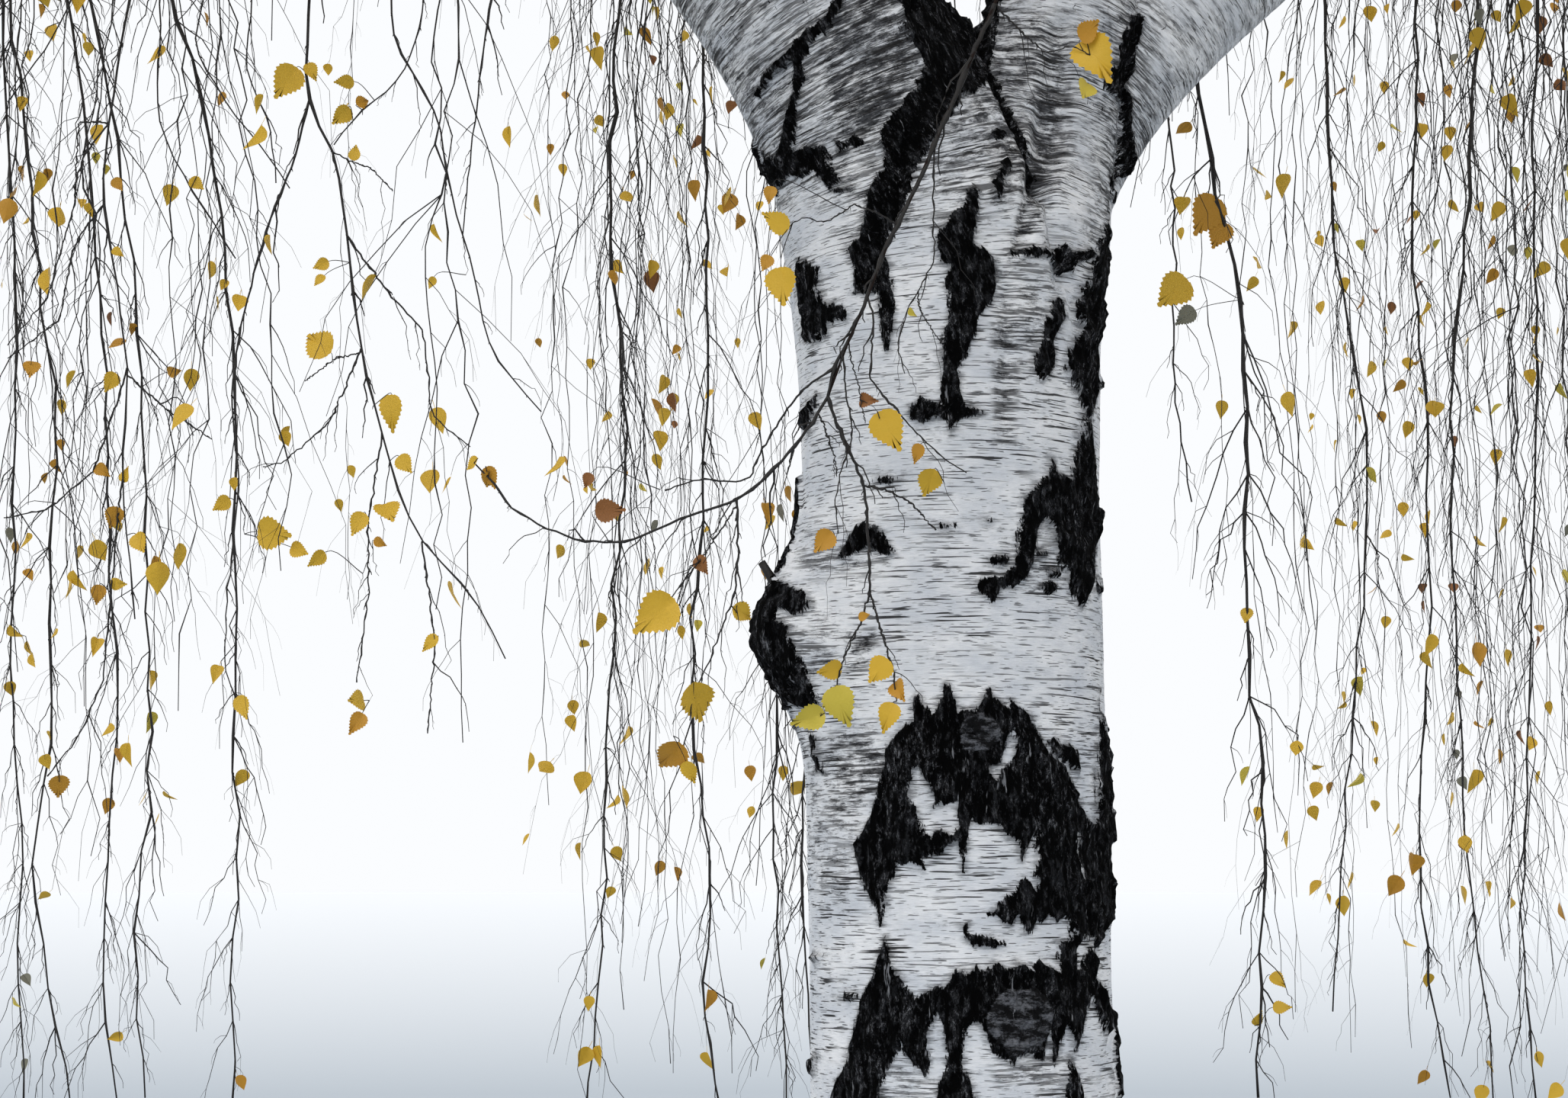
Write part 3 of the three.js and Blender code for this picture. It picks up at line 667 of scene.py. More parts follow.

# %% Grey weathering and painted shade: outline and depth of the grey
# Most are the bark's own grey weathering, such as the mottled grey on the left bough; those in the hollow
# right of the middle bough and down the groove below it are painted shade.
SMUDGES = [
    (0.34, [(850, -40), (1072, -40), (1062, 60), (1040, 120), (1022, 195), (985, 195), (930, 110),
            (870, 30)]),
    (0.75, [(1080, -20), (1185, -10), (1215, 75), (1190, 130), (1160, 180), (1120, 195), (1085, 170),
            (1070, 60)]),
    (0.62, [(1295, 60), (1330, 10), (1400, 30), (1412, 180), (1395, 260), (1352, 330), (1330, 350),
            (1338, 262),
            (1262, 150)]),
    (0.4, [(1440, -10), (1490, -10), (1480, 130), (1470, 200), (1432, 200)]),
    (0.45, [(1250, 140), (1290, 150), (1312, 175), (1300, 232), (1275, 245), (1250, 262), (1215, 250),
            (1216, 210)]),
    (0.85, [(1385, 40), (1402, 70), (1406, 160), (1396, 195), (1390, 235), (1370, 262), (1350, 300),
            (1335, 338),
            (1326, 345), (1346, 255), (1352, 200), (1354, 130), (1366, 105), (1384, 90)]),
    (0.4, [(1325, 345), (1392, 345), (1396, 400), (1370, 450), (1352, 492), (1330, 480), (1322, 420)]),
    (0.6, [(1305, 350), (1320, 362), (1340, 425), (1330, 585), (1306, 580), (1300, 425), (1312, 395)]),
    (0.5, [(1085, 965), (1120, 950), (1170, 965), (1162, 1010), (1140, 1060), (1120, 1090), (1085, 1080),
           (1082, 1010)]),
    (0.45, [(1010, 805), (1070, 800), (1110, 830), (1100, 880), (1072, 900), (1040, 850)]),
    (0.7, [(1112, 832), (1146, 826), (1150, 850), (1130, 880), (1112, 876)]),
    (0.35, [(1056, 690), (1110, 700), (1120, 760), (1060, 768), (1035, 745)]),
    (0.5, [(1100, 700), (1170, 722), (1160, 740), (1110, 745)]),
    (0.3, [(1290, 700), (1400, 690), (1400, 780), (1300, 790)]),
    (0.4, [(1010, 200), (1130, 190), (1120, 250), (1030, 260)]),
    (0.3, [(985, 100), (1046, 90), (1040, 190), (1000, 190)]),
    (0.45, [(1150, 1385), (1215, 1415), (1225, 1440), (1150, 1440)]),
    (0.35, [(1290, 1390), (1400, 1385), (1392, 1440), (1300, 1440)]),
    (0.3, [(1040, 950), (1130, 1090), (1110, 1200), (1060, 1180)]),
]
GREY_SCARS = [(1336, 1337, 44, 42), (1283, 962, 26, 26)]
print("weathered places:", len(SMUDGES))


# %% How far a place is inside an outline
def inside(places, outline):
    """Distance in picture places to an outline, positive inside it."""
    corners = np.array(outline, float)
    nearest = np.full(len(places), 1e9)
    crossings = np.zeros(len(places), bool)
    for a, b in zip(corners, np.roll(corners, -1, axis=0)):
        edge, to = b - a, places - a
        share = np.clip(to @ edge / max(edge @ edge, 1e-9), 0, 1)
        nearest = np.minimum(nearest, np.linalg.norm(to - share[:, None] * edge, axis=1))
        rises = (a[1] > places[:, 1]) != (b[1] > places[:, 1])
        height = edge[1] if edge[1] else 1e-9
        crossings ^= rises & (places[:, 0] < a[0] + edge[0] * (places[:, 1] - a[1]) / height)
    return np.where(crossings, nearest, -nearest)


def in_seam(places, line):
    """The same for a line whose half width changes along it."""
    best = np.full(len(places), -1e9)
    for (ax, ay, aw), (bx, by, bw) in zip(line, line[1:]):
        edge, to = np.array([bx - ax, by - ay]), places - [ax, ay]
        share = np.clip(to @ edge / (edge @ edge), 0, 1)
        gap = np.linalg.norm(to - share[:, None] * edge, axis=1)
        best = np.maximum(best, aw + (bw - aw) * share - gap)
    return best


def in_dot(places, dot):
    x, y, wide, tall = dot
    return (1 - np.hypot((places[:, 0] - x) / wide, (places[:, 1] - y) / tall)) * min(wide, tall)


FAR_OUTSIDE = -60.0


def front_patches(places):
    """Distance into the nearest black patch, the grey of weathering and painted shade, and the scars, for
    picture places.
    """
    patch = np.full(len(places), FAR_OUTSIDE)
    for outline in PATCHES.values():
        patch = np.maximum(patch, inside(places, outline))
    for window in WINDOWS.values():
        patch = np.minimum(patch, -inside(places, window))
    for line in SEAMS.values():
        patch = np.maximum(patch, in_seam(places, line))
    for dot in DOTS:
        patch = np.maximum(patch, in_dot(places, dot))
    # The grey: weathering, and painted shade in the fork's hollows
    grey = np.zeros(len(places))
    for depth, outline in SMUDGES:
        grey = np.maximum(grey, depth * smooth(inside(places, outline) / 44 + 0.5))
    scar = np.zeros(len(places))
    for dot in GREY_SCARS:
        scar = np.maximum(scar, smooth(in_dot(places, dot) / 8 + 0.4))
    return patch, grey, scar


print("the burl's middle is", inside(np.array([[1010, 850]]), PATCHES["burl"])[0].round(), "places inside it")


# %% [markdown]
# ## Building meshes from arrays
# Thousands of twigs and leaves could be objects of their own or particles, but then the scene is slow and
# the parts are lost on export. Here they are rows of numbers: numpy makes all the corners of a group at
# once, and one helper turns them into a joined mesh with its finish, its body and what it stands for.


# %% From arrays to a piece
def mapped(mesh, maps):
    """Writes a number or a vector for each corner, under the name that a finish reads it by."""
    for key, values in maps.items():
        kind, field = ("FLOAT_VECTOR", "vector") if values.ndim == 2 else ("FLOAT", "value")
        layer = mesh.attributes.new(key, kind, "POINT")
        layer.data.foreach_set(field, values.astype(np.float32).ravel())


def placed(name, data):
    """An object of that name in the scene."""
    made = bpy.data.objects.new(name, data)
    bpy.context.scene.collection.objects.link(made)
    return made


def piece(name, points, faces, finish, slot, nodes, maps=None):
    """A joined mesh from points in millimetres and faces that all have the same number of corners."""
    mesh = bpy.data.meshes.new(name)
    faces = np.asarray(faces, np.int32)
    mesh.vertices.add(len(points))
    mesh.vertices.foreach_set("co", (np.asarray(points) * MM).astype(np.float32).ravel())
    mesh.loops.add(faces.size)
    mesh.loops.foreach_set("vertex_index", faces.ravel())
    mesh.polygons.add(len(faces))
    mesh.polygons.foreach_set("loop_start", np.arange(0, faces.size, faces.shape[1], dtype=np.int32))
    mesh.update(calc_edges=True)
    mapped(mesh, maps or {})
    dress(name, mesh, finish, slot, nodes)


def dress(name, mesh, finish, slot, nodes):
    """Makes a mesh a piece with its finish and body, and hides the nodes that it stands for. The slot is not
    used.
    """
    mesh.polygons.foreach_set("use_smooth", np.ones(len(mesh.polygons), bool))
    mesh.materials.append(finish.material)
    made = placed(name, mesh)
    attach(made, "root")
    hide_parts(*nodes)
    print(f"{name}: {len(mesh.loops) - 2 * len(mesh.polygons)} triangles")


# %% Tubes along many lines at once
ASKEW = np.array([0.31, 0.2, 0.93])


def walls(index):
    """Triangles between the rings of tubes, and over their ends. index is tube by ring by side."""
    low, high = index[:, :-1], index[:, 1:]
    low_next, high_next = np.roll(low, -1, axis=2), np.roll(high, -1, axis=2)
    sheets = [np.stack([low, low_next, high_next], -1), np.stack([low, high_next, high], -1)]
    last = index[:, -1]
    sheets += [np.stack([last[:, 0], last[:, k], last[:, k + 1]], -1) for k in range(1, index.shape[2] - 1)]
    return np.concatenate([sheet.reshape(-1, 3) for sheet in sheets])


def tubes(paths, girths, sides, across=ASKEW):
    """Tubes for lines of equal step counts: corners and triangles. across is a direction off the lines."""
    count, steps, _ = paths.shape
    tangents = np.empty_like(paths)
    tangents[:, 1:-1] = paths[:, 2:] - paths[:, :-2]
    tangents[:, 0] = paths[:, 1] - paths[:, 0]
    tangents[:, -1] = paths[:, -1] - paths[:, -2]
    tangents = unit(tangents)
    first = unit(across - tangents * np.sum(tangents * across, -1, keepdims=True))
    second = np.cross(tangents, first)
    turn = 2 * np.pi * np.arange(sides) / sides
    ring = first[:, :, None] * np.cos(turn)[:, None] + second[:, :, None] * np.sin(turn)[:, None]
    corners = paths[:, :, None] + ring * girths[:, :, None, None]
    return corners.reshape(-1, 3), walls(np.arange(count * steps * sides).reshape(count, steps, sides))


def gathered(parts):
    """Several sets of corners and faces as one."""
    offsets = np.cumsum([0] + [len(points) for points, _ in parts[:-1]])
    faces = np.concatenate([faces + offset for (_, faces), offset in zip(parts, offsets)])
    return np.concatenate([points for points, _ in parts]), faces


def gathered_maps(parts):
    """The same for sets that have maps too."""
    maps = {key: np.concatenate([part[2][key] for part in parts]) for key in parts[0][2]}
    return *gathered([part[:2] for part in parts]), maps


# %% [markdown]
# ## The trunk and its fork as one skin
# On the real tree the bark runs without a seam from the trunk into the three boughs, with tight creases
# between them. Separate tubes would show their joins. Metaballs blend, but too softly. Here the tubes are
# joined by a voxel remesh, and each point is then drawn onto a surface that is worked out as the smooth
# union of the trunk's round and the boughs' rounds, so the creases stay as tight as the picture shows.

# %% Distances to the wood
FORK_END = 1010
FORK_REACH = FORK_END + 190
BLEND, RIGHT_BLEND, LEFT_BLEND = 55, 40, 30
LOWEST_BOUGH = 1980


def fine_line(main, end, steps):
    return along(main.path, np.linspace(0, end / main.length, steps + 1))


def softened(path):
    """A line with its corners rounded, ends kept."""
    made = path.copy()
    for _ in range(3):
        made[1:-1] = (made[:-2] + 2 * made[1:-1] + made[2:]) / 4
    return made


for main in MAIN_BOUGHS:
    main.fork_line = softened(fine_line(main, FORK_REACH, 24))


def nearest_on(points, path, length):
    """Distance from points to a line, how far along it that is, and the offset from it."""
    best = np.full(len(points), 1e9)
    place = np.zeros(len(points))
    offset = np.zeros_like(points)
    step = length / (len(path) - 1)
    for i, (a, b) in enumerate(zip(path, path[1:])):
        edge, to = b - a, points - a
        share = np.clip(to @ edge / (edge @ edge), 0, 1)
        off = to - share[:, None] * edge
        gap = np.linalg.norm(off, axis=1)
        closer = gap < best
        best[closer], place[closer], offset[closer] = gap[closer], (i + share[closer]) * step, off[closer]
    return best, place, offset


def soft_min(a, b, blend):
    h = np.maximum(blend - np.abs(a - b), 0) / blend
    return np.minimum(a, b) - h * h * blend / 4


def wood_distance(points):
    """Distance from the wood's surface, negative inside, with the boughs' distances."""
    dx, dy = points[:, 0] - TRUNK_LEAN * points[:, 2], points[:, 1]
    azimuth = np.degrees(np.arctan2(dy, dx))
    trunk = np.hypot(dx, dy) - trunk_girth(points[:, 2], azimuth)
    trunk = np.maximum(trunk, (points[:, 2] - CROTCH_HEIGHT) * 0.8)
    each = []
    high = points[:, 2] > LOWEST_BOUGH
    for main in MAIN_BOUGHS:
        gap, s, _ = nearest_on(points[high], main.fork_line, FORK_REACH)
        outside = np.full(len(points), 500.0)
        outside[high] = gap - main_girth(main, s)
        each.append(outside)
    total = soft_min(soft_min(each[1], each[2], RIGHT_BLEND), each[0], LEFT_BLEND)
    return soft_min(total, trunk, BLEND), each


def wood_normal(points):
    steps = np.eye(3) * 2.0
    return unit(np.stack([wood_distance(points + s)[0] - wood_distance(points - s)[0] for s in steps], -1))


print("the trunk's middle is", wood_distance(np.array([[0, 0, 1500.0]]))[0].round(), "mm from its surface")


# %% A joined shape of trunk and boughs, remeshed
VOXEL = 13.3


def closed_tube(path, girths, sides):
    """Corners and triangles of one tube with both ends closed."""
    corners, faces = tubes(path[None], girths[None], sides, np.array([0.0, 1.0, 0.0]))
    start = [(0, k + 1, k) for k in range(1, sides - 1)]
    return corners, np.concatenate([faces, np.array(start)])


COLUMN_RINGS, COLUMN_SIDES = 90, 72


def column():
    """The trunk as one closed tube, from below the ground to the crotch."""
    heights = np.linspace(-60, CROTCH_HEIGHT, COLUMN_RINGS)
    turn = 2 * np.pi * np.arange(COLUMN_SIDES) / COLUMN_SIDES
    girths = trunk_girth(heights[:, None], np.degrees(turn)[None])
    x = TRUNK_LEAN * heights[:, None] + girths * np.cos(turn)
    z = np.repeat(heights[:, None], COLUMN_SIDES, 1)
    path = np.stack([TRUNK_LEAN * heights, 0 * heights, heights], -1)
    _, faces = closed_tube(path, np.ones(COLUMN_RINGS), COLUMN_SIDES)
    return np.stack([x, girths * np.sin(turn), z], -1).reshape(-1, 3), faces


def remeshed(points, faces, voxel):
    mesh = bpy.data.meshes.new("wood")
    mesh.from_pydata((points * MM).tolist(), [], faces.tolist())
    made = placed("wood", mesh)
    remesh = made.modifiers.new("skin", "REMESH")
    remesh.mode, remesh.voxel_size = "VOXEL", voxel * MM
    shape = made.evaluated_get(bpy.context.evaluated_depsgraph_get()).to_mesh()
    corners = np.empty(len(shape.vertices) * 3, np.float32)
    shape.vertices.foreach_get("co", corners)
    quads = np.empty(len(shape.loops), np.int32)
    shape.loops.foreach_get("vertex_index", quads)
    bpy.data.objects.remove(made)
    return corners.reshape(-1, 3).astype(float) / MM, quads.reshape(-1, 4)


parts = [column()]
for main in MAIN_BOUGHS:
    girths = main_girth(main, np.linspace(0, FORK_END + 60, 23))
    parts.append(closed_tube(softened(fine_line(main, FORK_END + 60, 22)), girths, 32))
skin, quads = remeshed(*gathered(parts), VOXEL)
print("remeshed wood:", len(skin), "corners,", len(quads), "quads")


# %% Finer faces where the picture shows the bark
def split(points, faces, wanted):
    """Splits the wanted faces in four. Their neighbours stay joined to them."""
    mesh = bpy.data.meshes.new("split")
    mesh.from_pydata(points.tolist(), [], faces)
    work = bmesh.new()
    work.from_mesh(mesh)
    work.faces.ensure_lookup_table()
    edges = {edge for i in np.flatnonzero(wanted) for edge in work.faces[i].edges}
    bmesh.ops.subdivide_edges(work, edges=list(edges), cuts=1, use_grid_fill=True)
    many = [face for face in work.faces if len(face.verts) > 4]
    bmesh.ops.triangulate(work, faces=many)
    work.to_mesh(mesh)
    work.free()
    made = np.empty(len(mesh.vertices) * 3, np.float32)
    mesh.vertices.foreach_get("co", made)
    polygons = [tuple(p.vertices) for p in mesh.polygons]
    bpy.data.meshes.remove(mesh)
    return made.reshape(-1, 3).astype(float), polygons


def settled(points, rounds):
    """Points drawn onto the surface of the wood."""
    for _ in range(rounds):
        steps = np.eye(3) * 1.5
        here = wood_distance(points)[0]
        slope = np.stack([wood_distance(points + s)[0] - here for s in steps], -1) / 1.5
        steep = np.maximum(np.sum(slope * slope, -1), 0.3)
        points = points - slope * (here / steep)[:, None]
    return points


def centres(points, faces):
    return np.array([points[list(face)].mean(0) for face in faces])


def facing(points, normals):
    """1 where the surface looks at the picture's viewpoint, 0 at its outline."""
    return -np.sum(normals * unit(points - EYE), -1)


# How near to a patch's outline, how far turned to the viewpoint, and how far past the picture's edge
FINER_ROUNDS = [(math.inf, -0.05, 60), (5.5, 0.1, 20)]
skin = settled(skin, 2)
polygons = [tuple(quad) for quad in quads.tolist()]
for rim, turned, past in FINER_ROUNDS:
    middle = centres(skin, polygons)
    places, _ = picture_place(middle)
    shown = (np.abs(front_patches(places)[0]) < rim) & (facing(middle, wood_normal(middle)) > turned)
    shown &= (places[:, 1] > -past) & (places[:, 1] < PICTURE[1] + past)
    skin, polygons = split(skin, polygons, shown)
    skin = settled(skin, 1)
print("bark skin:", len(skin), "corners,", len(polygons), "faces")

# %% [markdown]
# ## Relief of the bark
# The black cork stands proud of the white skin in rough upright plates with cracks between them, and the
# white skin itself is almost smooth. Bump shading alone would leave the trunk's outline a clean curve, so
# the plates, the lips of the patches and the creases move the mesh. The shader adds only what is finer.

# %% Patches all round, and how high the bark stands
GIRTH_ARC = 225
SCATTERED = 64


def wild_patches(azimuth, height):
    """Arches and diamonds on the sides that the picture doesn't show, and the dark foot of the trunk."""
    rng = np.random.default_rng(11)
    patch = np.full(len(height), FAR_OUTSIDE)
    for _ in range(SCATTERED):
        towards, level = rng.uniform(-180, 180), 420 + 2500 * rng.random() ** 0.9
        wide, tall = rng.uniform(22, 62), rng.uniform(35, 120)
        bend = rng.uniform(0, 1.3)
        across = np.abs(turn_between(towards, azimuth)) * math.pi / 180 * GIRTH_ARC
        rise = height - level + bend * across
        patch = np.maximum(patch, (1 - across / wide - np.abs(rise) / tall) * min(wide, tall) * 0.75)
    turned = np.radians(azimuth)
    place = np.stack([np.cos(turned) * GIRTH_ARC, np.sin(turned) * GIRTH_ARC, height], -1)
    foot = (640 - height) / 640 * 52 + 40 * ripple(place, (75, 75, 210), 4) - 12
    return np.maximum(patch, foot)


def plates(points, seed=0):
    """Upright corky plates from -1 in the cracks to 1."""
    broad = 1 - 2 * np.abs(ripple(points, (24, 24, 62), seed + 1))
    small = 1 - 2 * np.abs(ripple(points, (10, 10, 22), seed + 2))
    return 0.65 * broad + 0.35 * small


def relief(points, patch, scar):
    """Height of the bark over the wood, in millimetres."""
    cork = smooth((patch + 1.5) / 5)
    rough = 3.5 + 8.0 * plates(points) + 2.6 * ripple(points, (6, 6, 10), 3)
    skin = 1.5 * ripple(points, (130, 130, 220), 5) + 0.45 * ripple(points, (60, 60, 7), 6)
    lip = 2.0 * np.exp(-((patch / 4) ** 2))
    return cork * rough + (1 - cork) * skin + lip + 6 * scar


print("patches from a seed:", SCATTERED)


# %% Soft hollows of the front, and coordinates that follow the wood
# How deep each is, and its line with half widths
HOLLOWS = [
    (20, [(1388, 40, 22), (1386, 120, 30), (1376, 200, 27), (1358, 262, 20), (1338, 325, 10)]),
    (16, [(1190, 190, 20), (1172, 260, 18), (1150, 330, 14), (1140, 400, 8)]),
    (8, [(1322, 380, 10), (1320, 470, 12), (1318, 580, 10)]),
]


def hollowed(places):
    depth = np.zeros(len(places))
    for deep, line in HOLLOWS:
        depth = np.maximum(depth, deep * smooth(in_seam(places, line) / 24 + 0.2))
    return depth


def bough_frame(way):
    first = unit(np.cross([0.0, 1.0, 0.0], way))
    return first, np.cross(way, first)


def nearest_bough(points):
    """Which bough's wood is nearest to points, how far along it that is, and the offset from its line."""
    each = [nearest_on(points, main.fork_line, FORK_REACH) for main in MAIN_BOUGHS]
    outside = [gap - main_girth(main, s) for main, (gap, s, _) in zip(MAIN_BOUGHS, each)]
    which, row = np.argmin(outside, axis=0), np.arange(len(points))
    places, offsets = np.array([s for _, s, _ in each]), np.array([offset for _, _, offset in each])
    return which, places[which, row], offsets[which, row]


def grain_of(points):
    """Coordinates that follow the wood: across, through, and along the trunk or the nearest bough."""
    grain = points - TRUNK_LEAN * points[:, 2:] * [1, 0, 0]
    bough_grain = np.empty_like(grain)
    which, place, offset = nearest_bough(points)
    for k, main in enumerate(MAIN_BOUGHS):
        s, off = place[which == k], offset[which == k]
        ways = unit(np.gradient(main.fork_line, axis=0))
        across, through = (np.sum(off * side, -1) for side in bough_frame(along(ways, s / FORK_REACH)))
        bough_grain[which == k] = np.stack([across, through, s + FORK_START], -1)
    share = smooth((points[:, 2:] - 2150) / 450)
    return grain * (1 - share) + bough_grain * share


print("hollows:", len(HOLLOWS))


# %% The skin with its relief and its maps
def dressed_skin(points):
    normals = wood_normal(points)
    places, _ = picture_place(points)
    patch, grey, scar = front_patches(places)
    # The outlines end raggedly where the trunk turns away, and just past the picture's top and bottom
    ragged = 0.2 * ripple(points, 45, 8)
    front = smooth((facing(points, normals) + ragged - 0.02) / 0.16)
    front = front * smooth((places[:, 1] + 90) / 60) * smooth((1560 - places[:, 1]) / 60)
    azimuth = np.degrees(np.arctan2(points[:, 1], points[:, 0] - TRUNK_LEAN * points[:, 2]))
    wild = wild_patches(azimuth, points[:, 2])
    patch = np.maximum(patch - 70 * (1 - front), wild - 70 * front)
    # Painted shade and weathering round the fork's patches, and the creases between the boughs
    fork_shade = 0.42 * smooth(1 + patch / 60) * smooth((points[:, 2] - 2300) / 150)
    grey = np.maximum(grey, fork_shade) * front
    scar = smooth(scar * 1.7 - 0.55 + 1.1 * ripple(points, (17, 17, 26), 11)) * front
    distance, each = wood_distance(points)
    near = np.exp(-((each[0] - np.minimum(each[1], each[2])) / 14) ** 2) * (points[:, 2] > 2320)
    crease = 20 * near + 7 * np.exp(-((each[1] - each[2]) / 12) ** 2) * (points[:, 2] > 2500)
    # Cork colour along the crease between the left bough and the others: partly the fork's black seam, partly
    # painted shade in the crease
    patch = np.maximum(patch, near * 12 - 5 - 60 * (1 - smooth((points[:, 2] - 2380) / 120)))
    height = relief(points, patch, scar) - crease - hollowed(places) * front
    grain = grain_of(points)
    moved = points + normals * height[:, None]
    maps = {"patch": patch * MM, "grey": grey, "scar": scar, "grain": grain * MM}
    return moved, {**maps, "young": np.zeros(len(points))}


skin_points, skin_maps = dressed_skin(skin)
print("relief from", (skin_maps["patch"] > 0).mean().round(3), "of the skin being cork")

# %% [markdown]
# ## White bark and black cork
# The white skin peels in thin paper, crossed by short dark breathing pores, and greys where it weathers. In
# the fork the same grey is painted shade.
# The cork is nearly black with paler cracks and grey chips, partly its own grey and partly painted highlight.
# An image would be one trunk's, and stretch on every other.
# Here the maps of the mesh say where cork, weathering and painted shade are, noise along the grain makes
# their edges ragged, and the pores are noise that is stretched round the wood and cut off high.

# %% The bark's finish
bark = Finish("white_bark")
grain = bark.attribute("grain", "Vector")
patch = bark.attribute("patch")
# The grey map: weathering, and painted shade in the fork's hollows and creases
grey = bark.attribute("grey")
scar = bark.attribute("scar")
spikes = (bark.noise(grain, (95, 95, 30), 4.0, 0.65) - 0.5) * 0.026
frays = (bark.noise(grain, (430, 430, 200), 3.0, 0.7) - 0.5) * 0.010
cork = (patch + spikes + frays).over(-0.0004, 0.0008)

pores = bark.noise(grain, (14, 14, 330), 1.5, 0.5).over(0.60, 0.635)
specks = bark.noise(grain, (42, 42, 480), 1.0, 0.4).over(0.65, 0.685)
drifts = bark.noise(grain, (6, 6, 12), 2.0).over(0.36, 0.56)
weather = bark.noise(grain, (38, 38, 75), 5.0, 0.75)
scratches = bark.noise(grain, (70, 70, 260), 4.0, 0.8)
fibres = bark.noise(grain, (55, 55, 700), 4.0, 0.7)
wrinkles = bark.noise(grain, (12, 12, 210), 3.0, 0.6).over(0.52, 0.60) * grey.over(0.12, 0.4)
lines = (pores * drifts).larger(specks * 0.75).larger(wrinkles * 0.85)

tone = bark.noise(grain, (9, 9, 16), 4.0, 0.6).over(0.3, 0.7)
paper = bark.mixed(tone, (0.70, 0.73, 0.78), (0.96, 0.965, 0.98))
paper = bark.mixed((fibres - 0.46) * 1.5, paper, (0.36, 0.38, 0.42))
streaks = bark.noise(grain, (20, 20, 120), 5.0, 0.78)
# Where the grey map is high the paper turns a dark grey: weathering, and painted shade in the fork's hollows
soot = (grey * 1.1 + (weather - 0.5) * 1.8 + (streaks - 0.5) * 3.0).over(0.30, 1.05)
sooty = bark.mixed(scratches.over(0.4, 0.7), (0.018, 0.018, 0.020), (0.15, 0.155, 0.17))
paper = bark.mixed(soot, paper, sooty)
halo = (patch + (streaks - 0.5) * 0.045).over(-0.010, 0.004) * 0.75
paper = bark.mixed(halo, paper, (0.055, 0.057, 0.062))
paper = bark.mixed(lines * 0.95, paper, (0.018, 0.017, 0.017))
brown = bark.mixed(weather, (0.007, 0.005, 0.005), (0.036, 0.024, 0.020))
paper = bark.mixed(bark.attribute("young"), paper, brown)

cracks = bark.noise(grain, (95, 95, 38), 6.0, 0.78)
flakes = bark.cells(grain, (150, 150, 62))
clusters = bark.noise(grain, (13, 13, 7), 3.0, 0.6).over(0.42, 0.62)
# Paler ridges and grey chips on the cork: partly its own grey, partly painted highlight
ridges = cracks.over(0.48, 0.62)
chips = bark.noise(grain, (200, 200, 90), 4.0, 0.85).over(0.50, 0.60) * ridges * (0.25 + clusters * 0.75)
slivers = bark.noise(grain, (85, 85, 14), 3.0, 0.75).over(0.64, 0.70)
cork_colour = bark.mixed(ridges, (0.001, 0.001, 0.0012), (0.024, 0.025, 0.028))
cork_colour = bark.mixed(chips, cork_colour, (0.36, 0.37, 0.40))
cork_colour = bark.mixed(slivers * 0.8, cork_colour, (0.40, 0.41, 0.44))
scarred = bark.mixed(weather.over(0.44, 0.66), (0.012, 0.012, 0.013), (0.26, 0.27, 0.30))
cork_colour = bark.mixed((scar + (scratches - 0.5) * 2.4).over(0.35, 0.75), cork_colour, scarred)
bark.feed(bark.shader.inputs["Base Color"], bark.mixed(cork, paper, cork_colour))
bark.feed(bark.shader.inputs["Roughness"], 0.62 + cork * 0.3)
rough = cracks * 4.0 + flakes * 2.2 + chips
bark.bump(cork * rough + (1 - cork) * (fibres * 0.22 - lines * 0.5 + scratches * 0.3), 0.0034)
bark.shader.inputs["Specular IOR Level"].default_value = 0.06
print("bark nodes:", len(bark.tree.nodes))


# %% The trunk piece, cut flat at the ground
# The upper boughs take over past the fork's end
past = (nearest_bough(skin)[1] > FORK_END) & (skin[:, 2] > 2700)
polygons = [face for face in polygons if not past[list(face)].any()]
mesh = bpy.data.meshes.new("trunk_bark")
mesh.from_pydata((skin_points * MM).tolist(), [], polygons)
mapped(mesh, skin_maps)
work = bmesh.new()
work.from_mesh(mesh)
everything = work.verts[:] + work.edges[:] + work.faces[:]
bmesh.ops.bisect_plane(work, geom=everything, plane_co=(0, 0, 0), plane_no=(0, 0, -1), clear_outer=True)
rim = [edge for edge in work.edges if edge.is_boundary and all(abs(v.co.z) < 1e-5 for v in edge.verts)]
bmesh.ops.contextual_create(work, geom=rim)
loose = [vertex for vertex in work.verts if not vertex.link_faces]
bmesh.ops.delete(work, geom=loose, context="VERTS")
bmesh.ops.triangulate(work, faces=work.faces[:])
work.to_mesh(mesh)
work.free()
dress("trunk_bark", mesh, bark, "bark", ["trunk"])

# %% [markdown]
# ## Boughs above the fork
# The same bark goes on up the three boughs, thinner as they thin, with a dark eyebrow of cork over each
# limb. They could be part of the remeshed skin, but that would need millions of cells. Rings along each
# bough's line are lighter, and they start just inside the skin, so the join doesn't show.

# %% The three upper boughs
BOUGH_SIDES, RING_STEP, SCARS = 26, 40, 46


def bough_marks(main):
    """Cork marks of a bough: how far along, towards which angle, half width, half height, and bend."""
    marks = []
    for plan in limbs:
        if plan.seat.main is main:
            first, second = bough_frame(plan.seat.way)
            towards, girth = math.atan2(plan.way @ second, plan.way @ first), plan.tier.limb_girth
            marks.append((plan.seat.s + 25, towards, 2.6 * girth, 2.1 * girth, 0.6))
    rng = np.random.default_rng(int(main.length))
    for _ in range(SCARS):
        s = rng.uniform(FORK_END, main.length)
        size = float(main_girth(main, s)) / 110
        towards, wide, tall = rng.uniform(-3.1, 3.1), size * rng.uniform(14, 50), size * rng.uniform(24, 90)
        marks.append((s, towards, wide, tall, rng.uniform(0, 1)))
    return marks


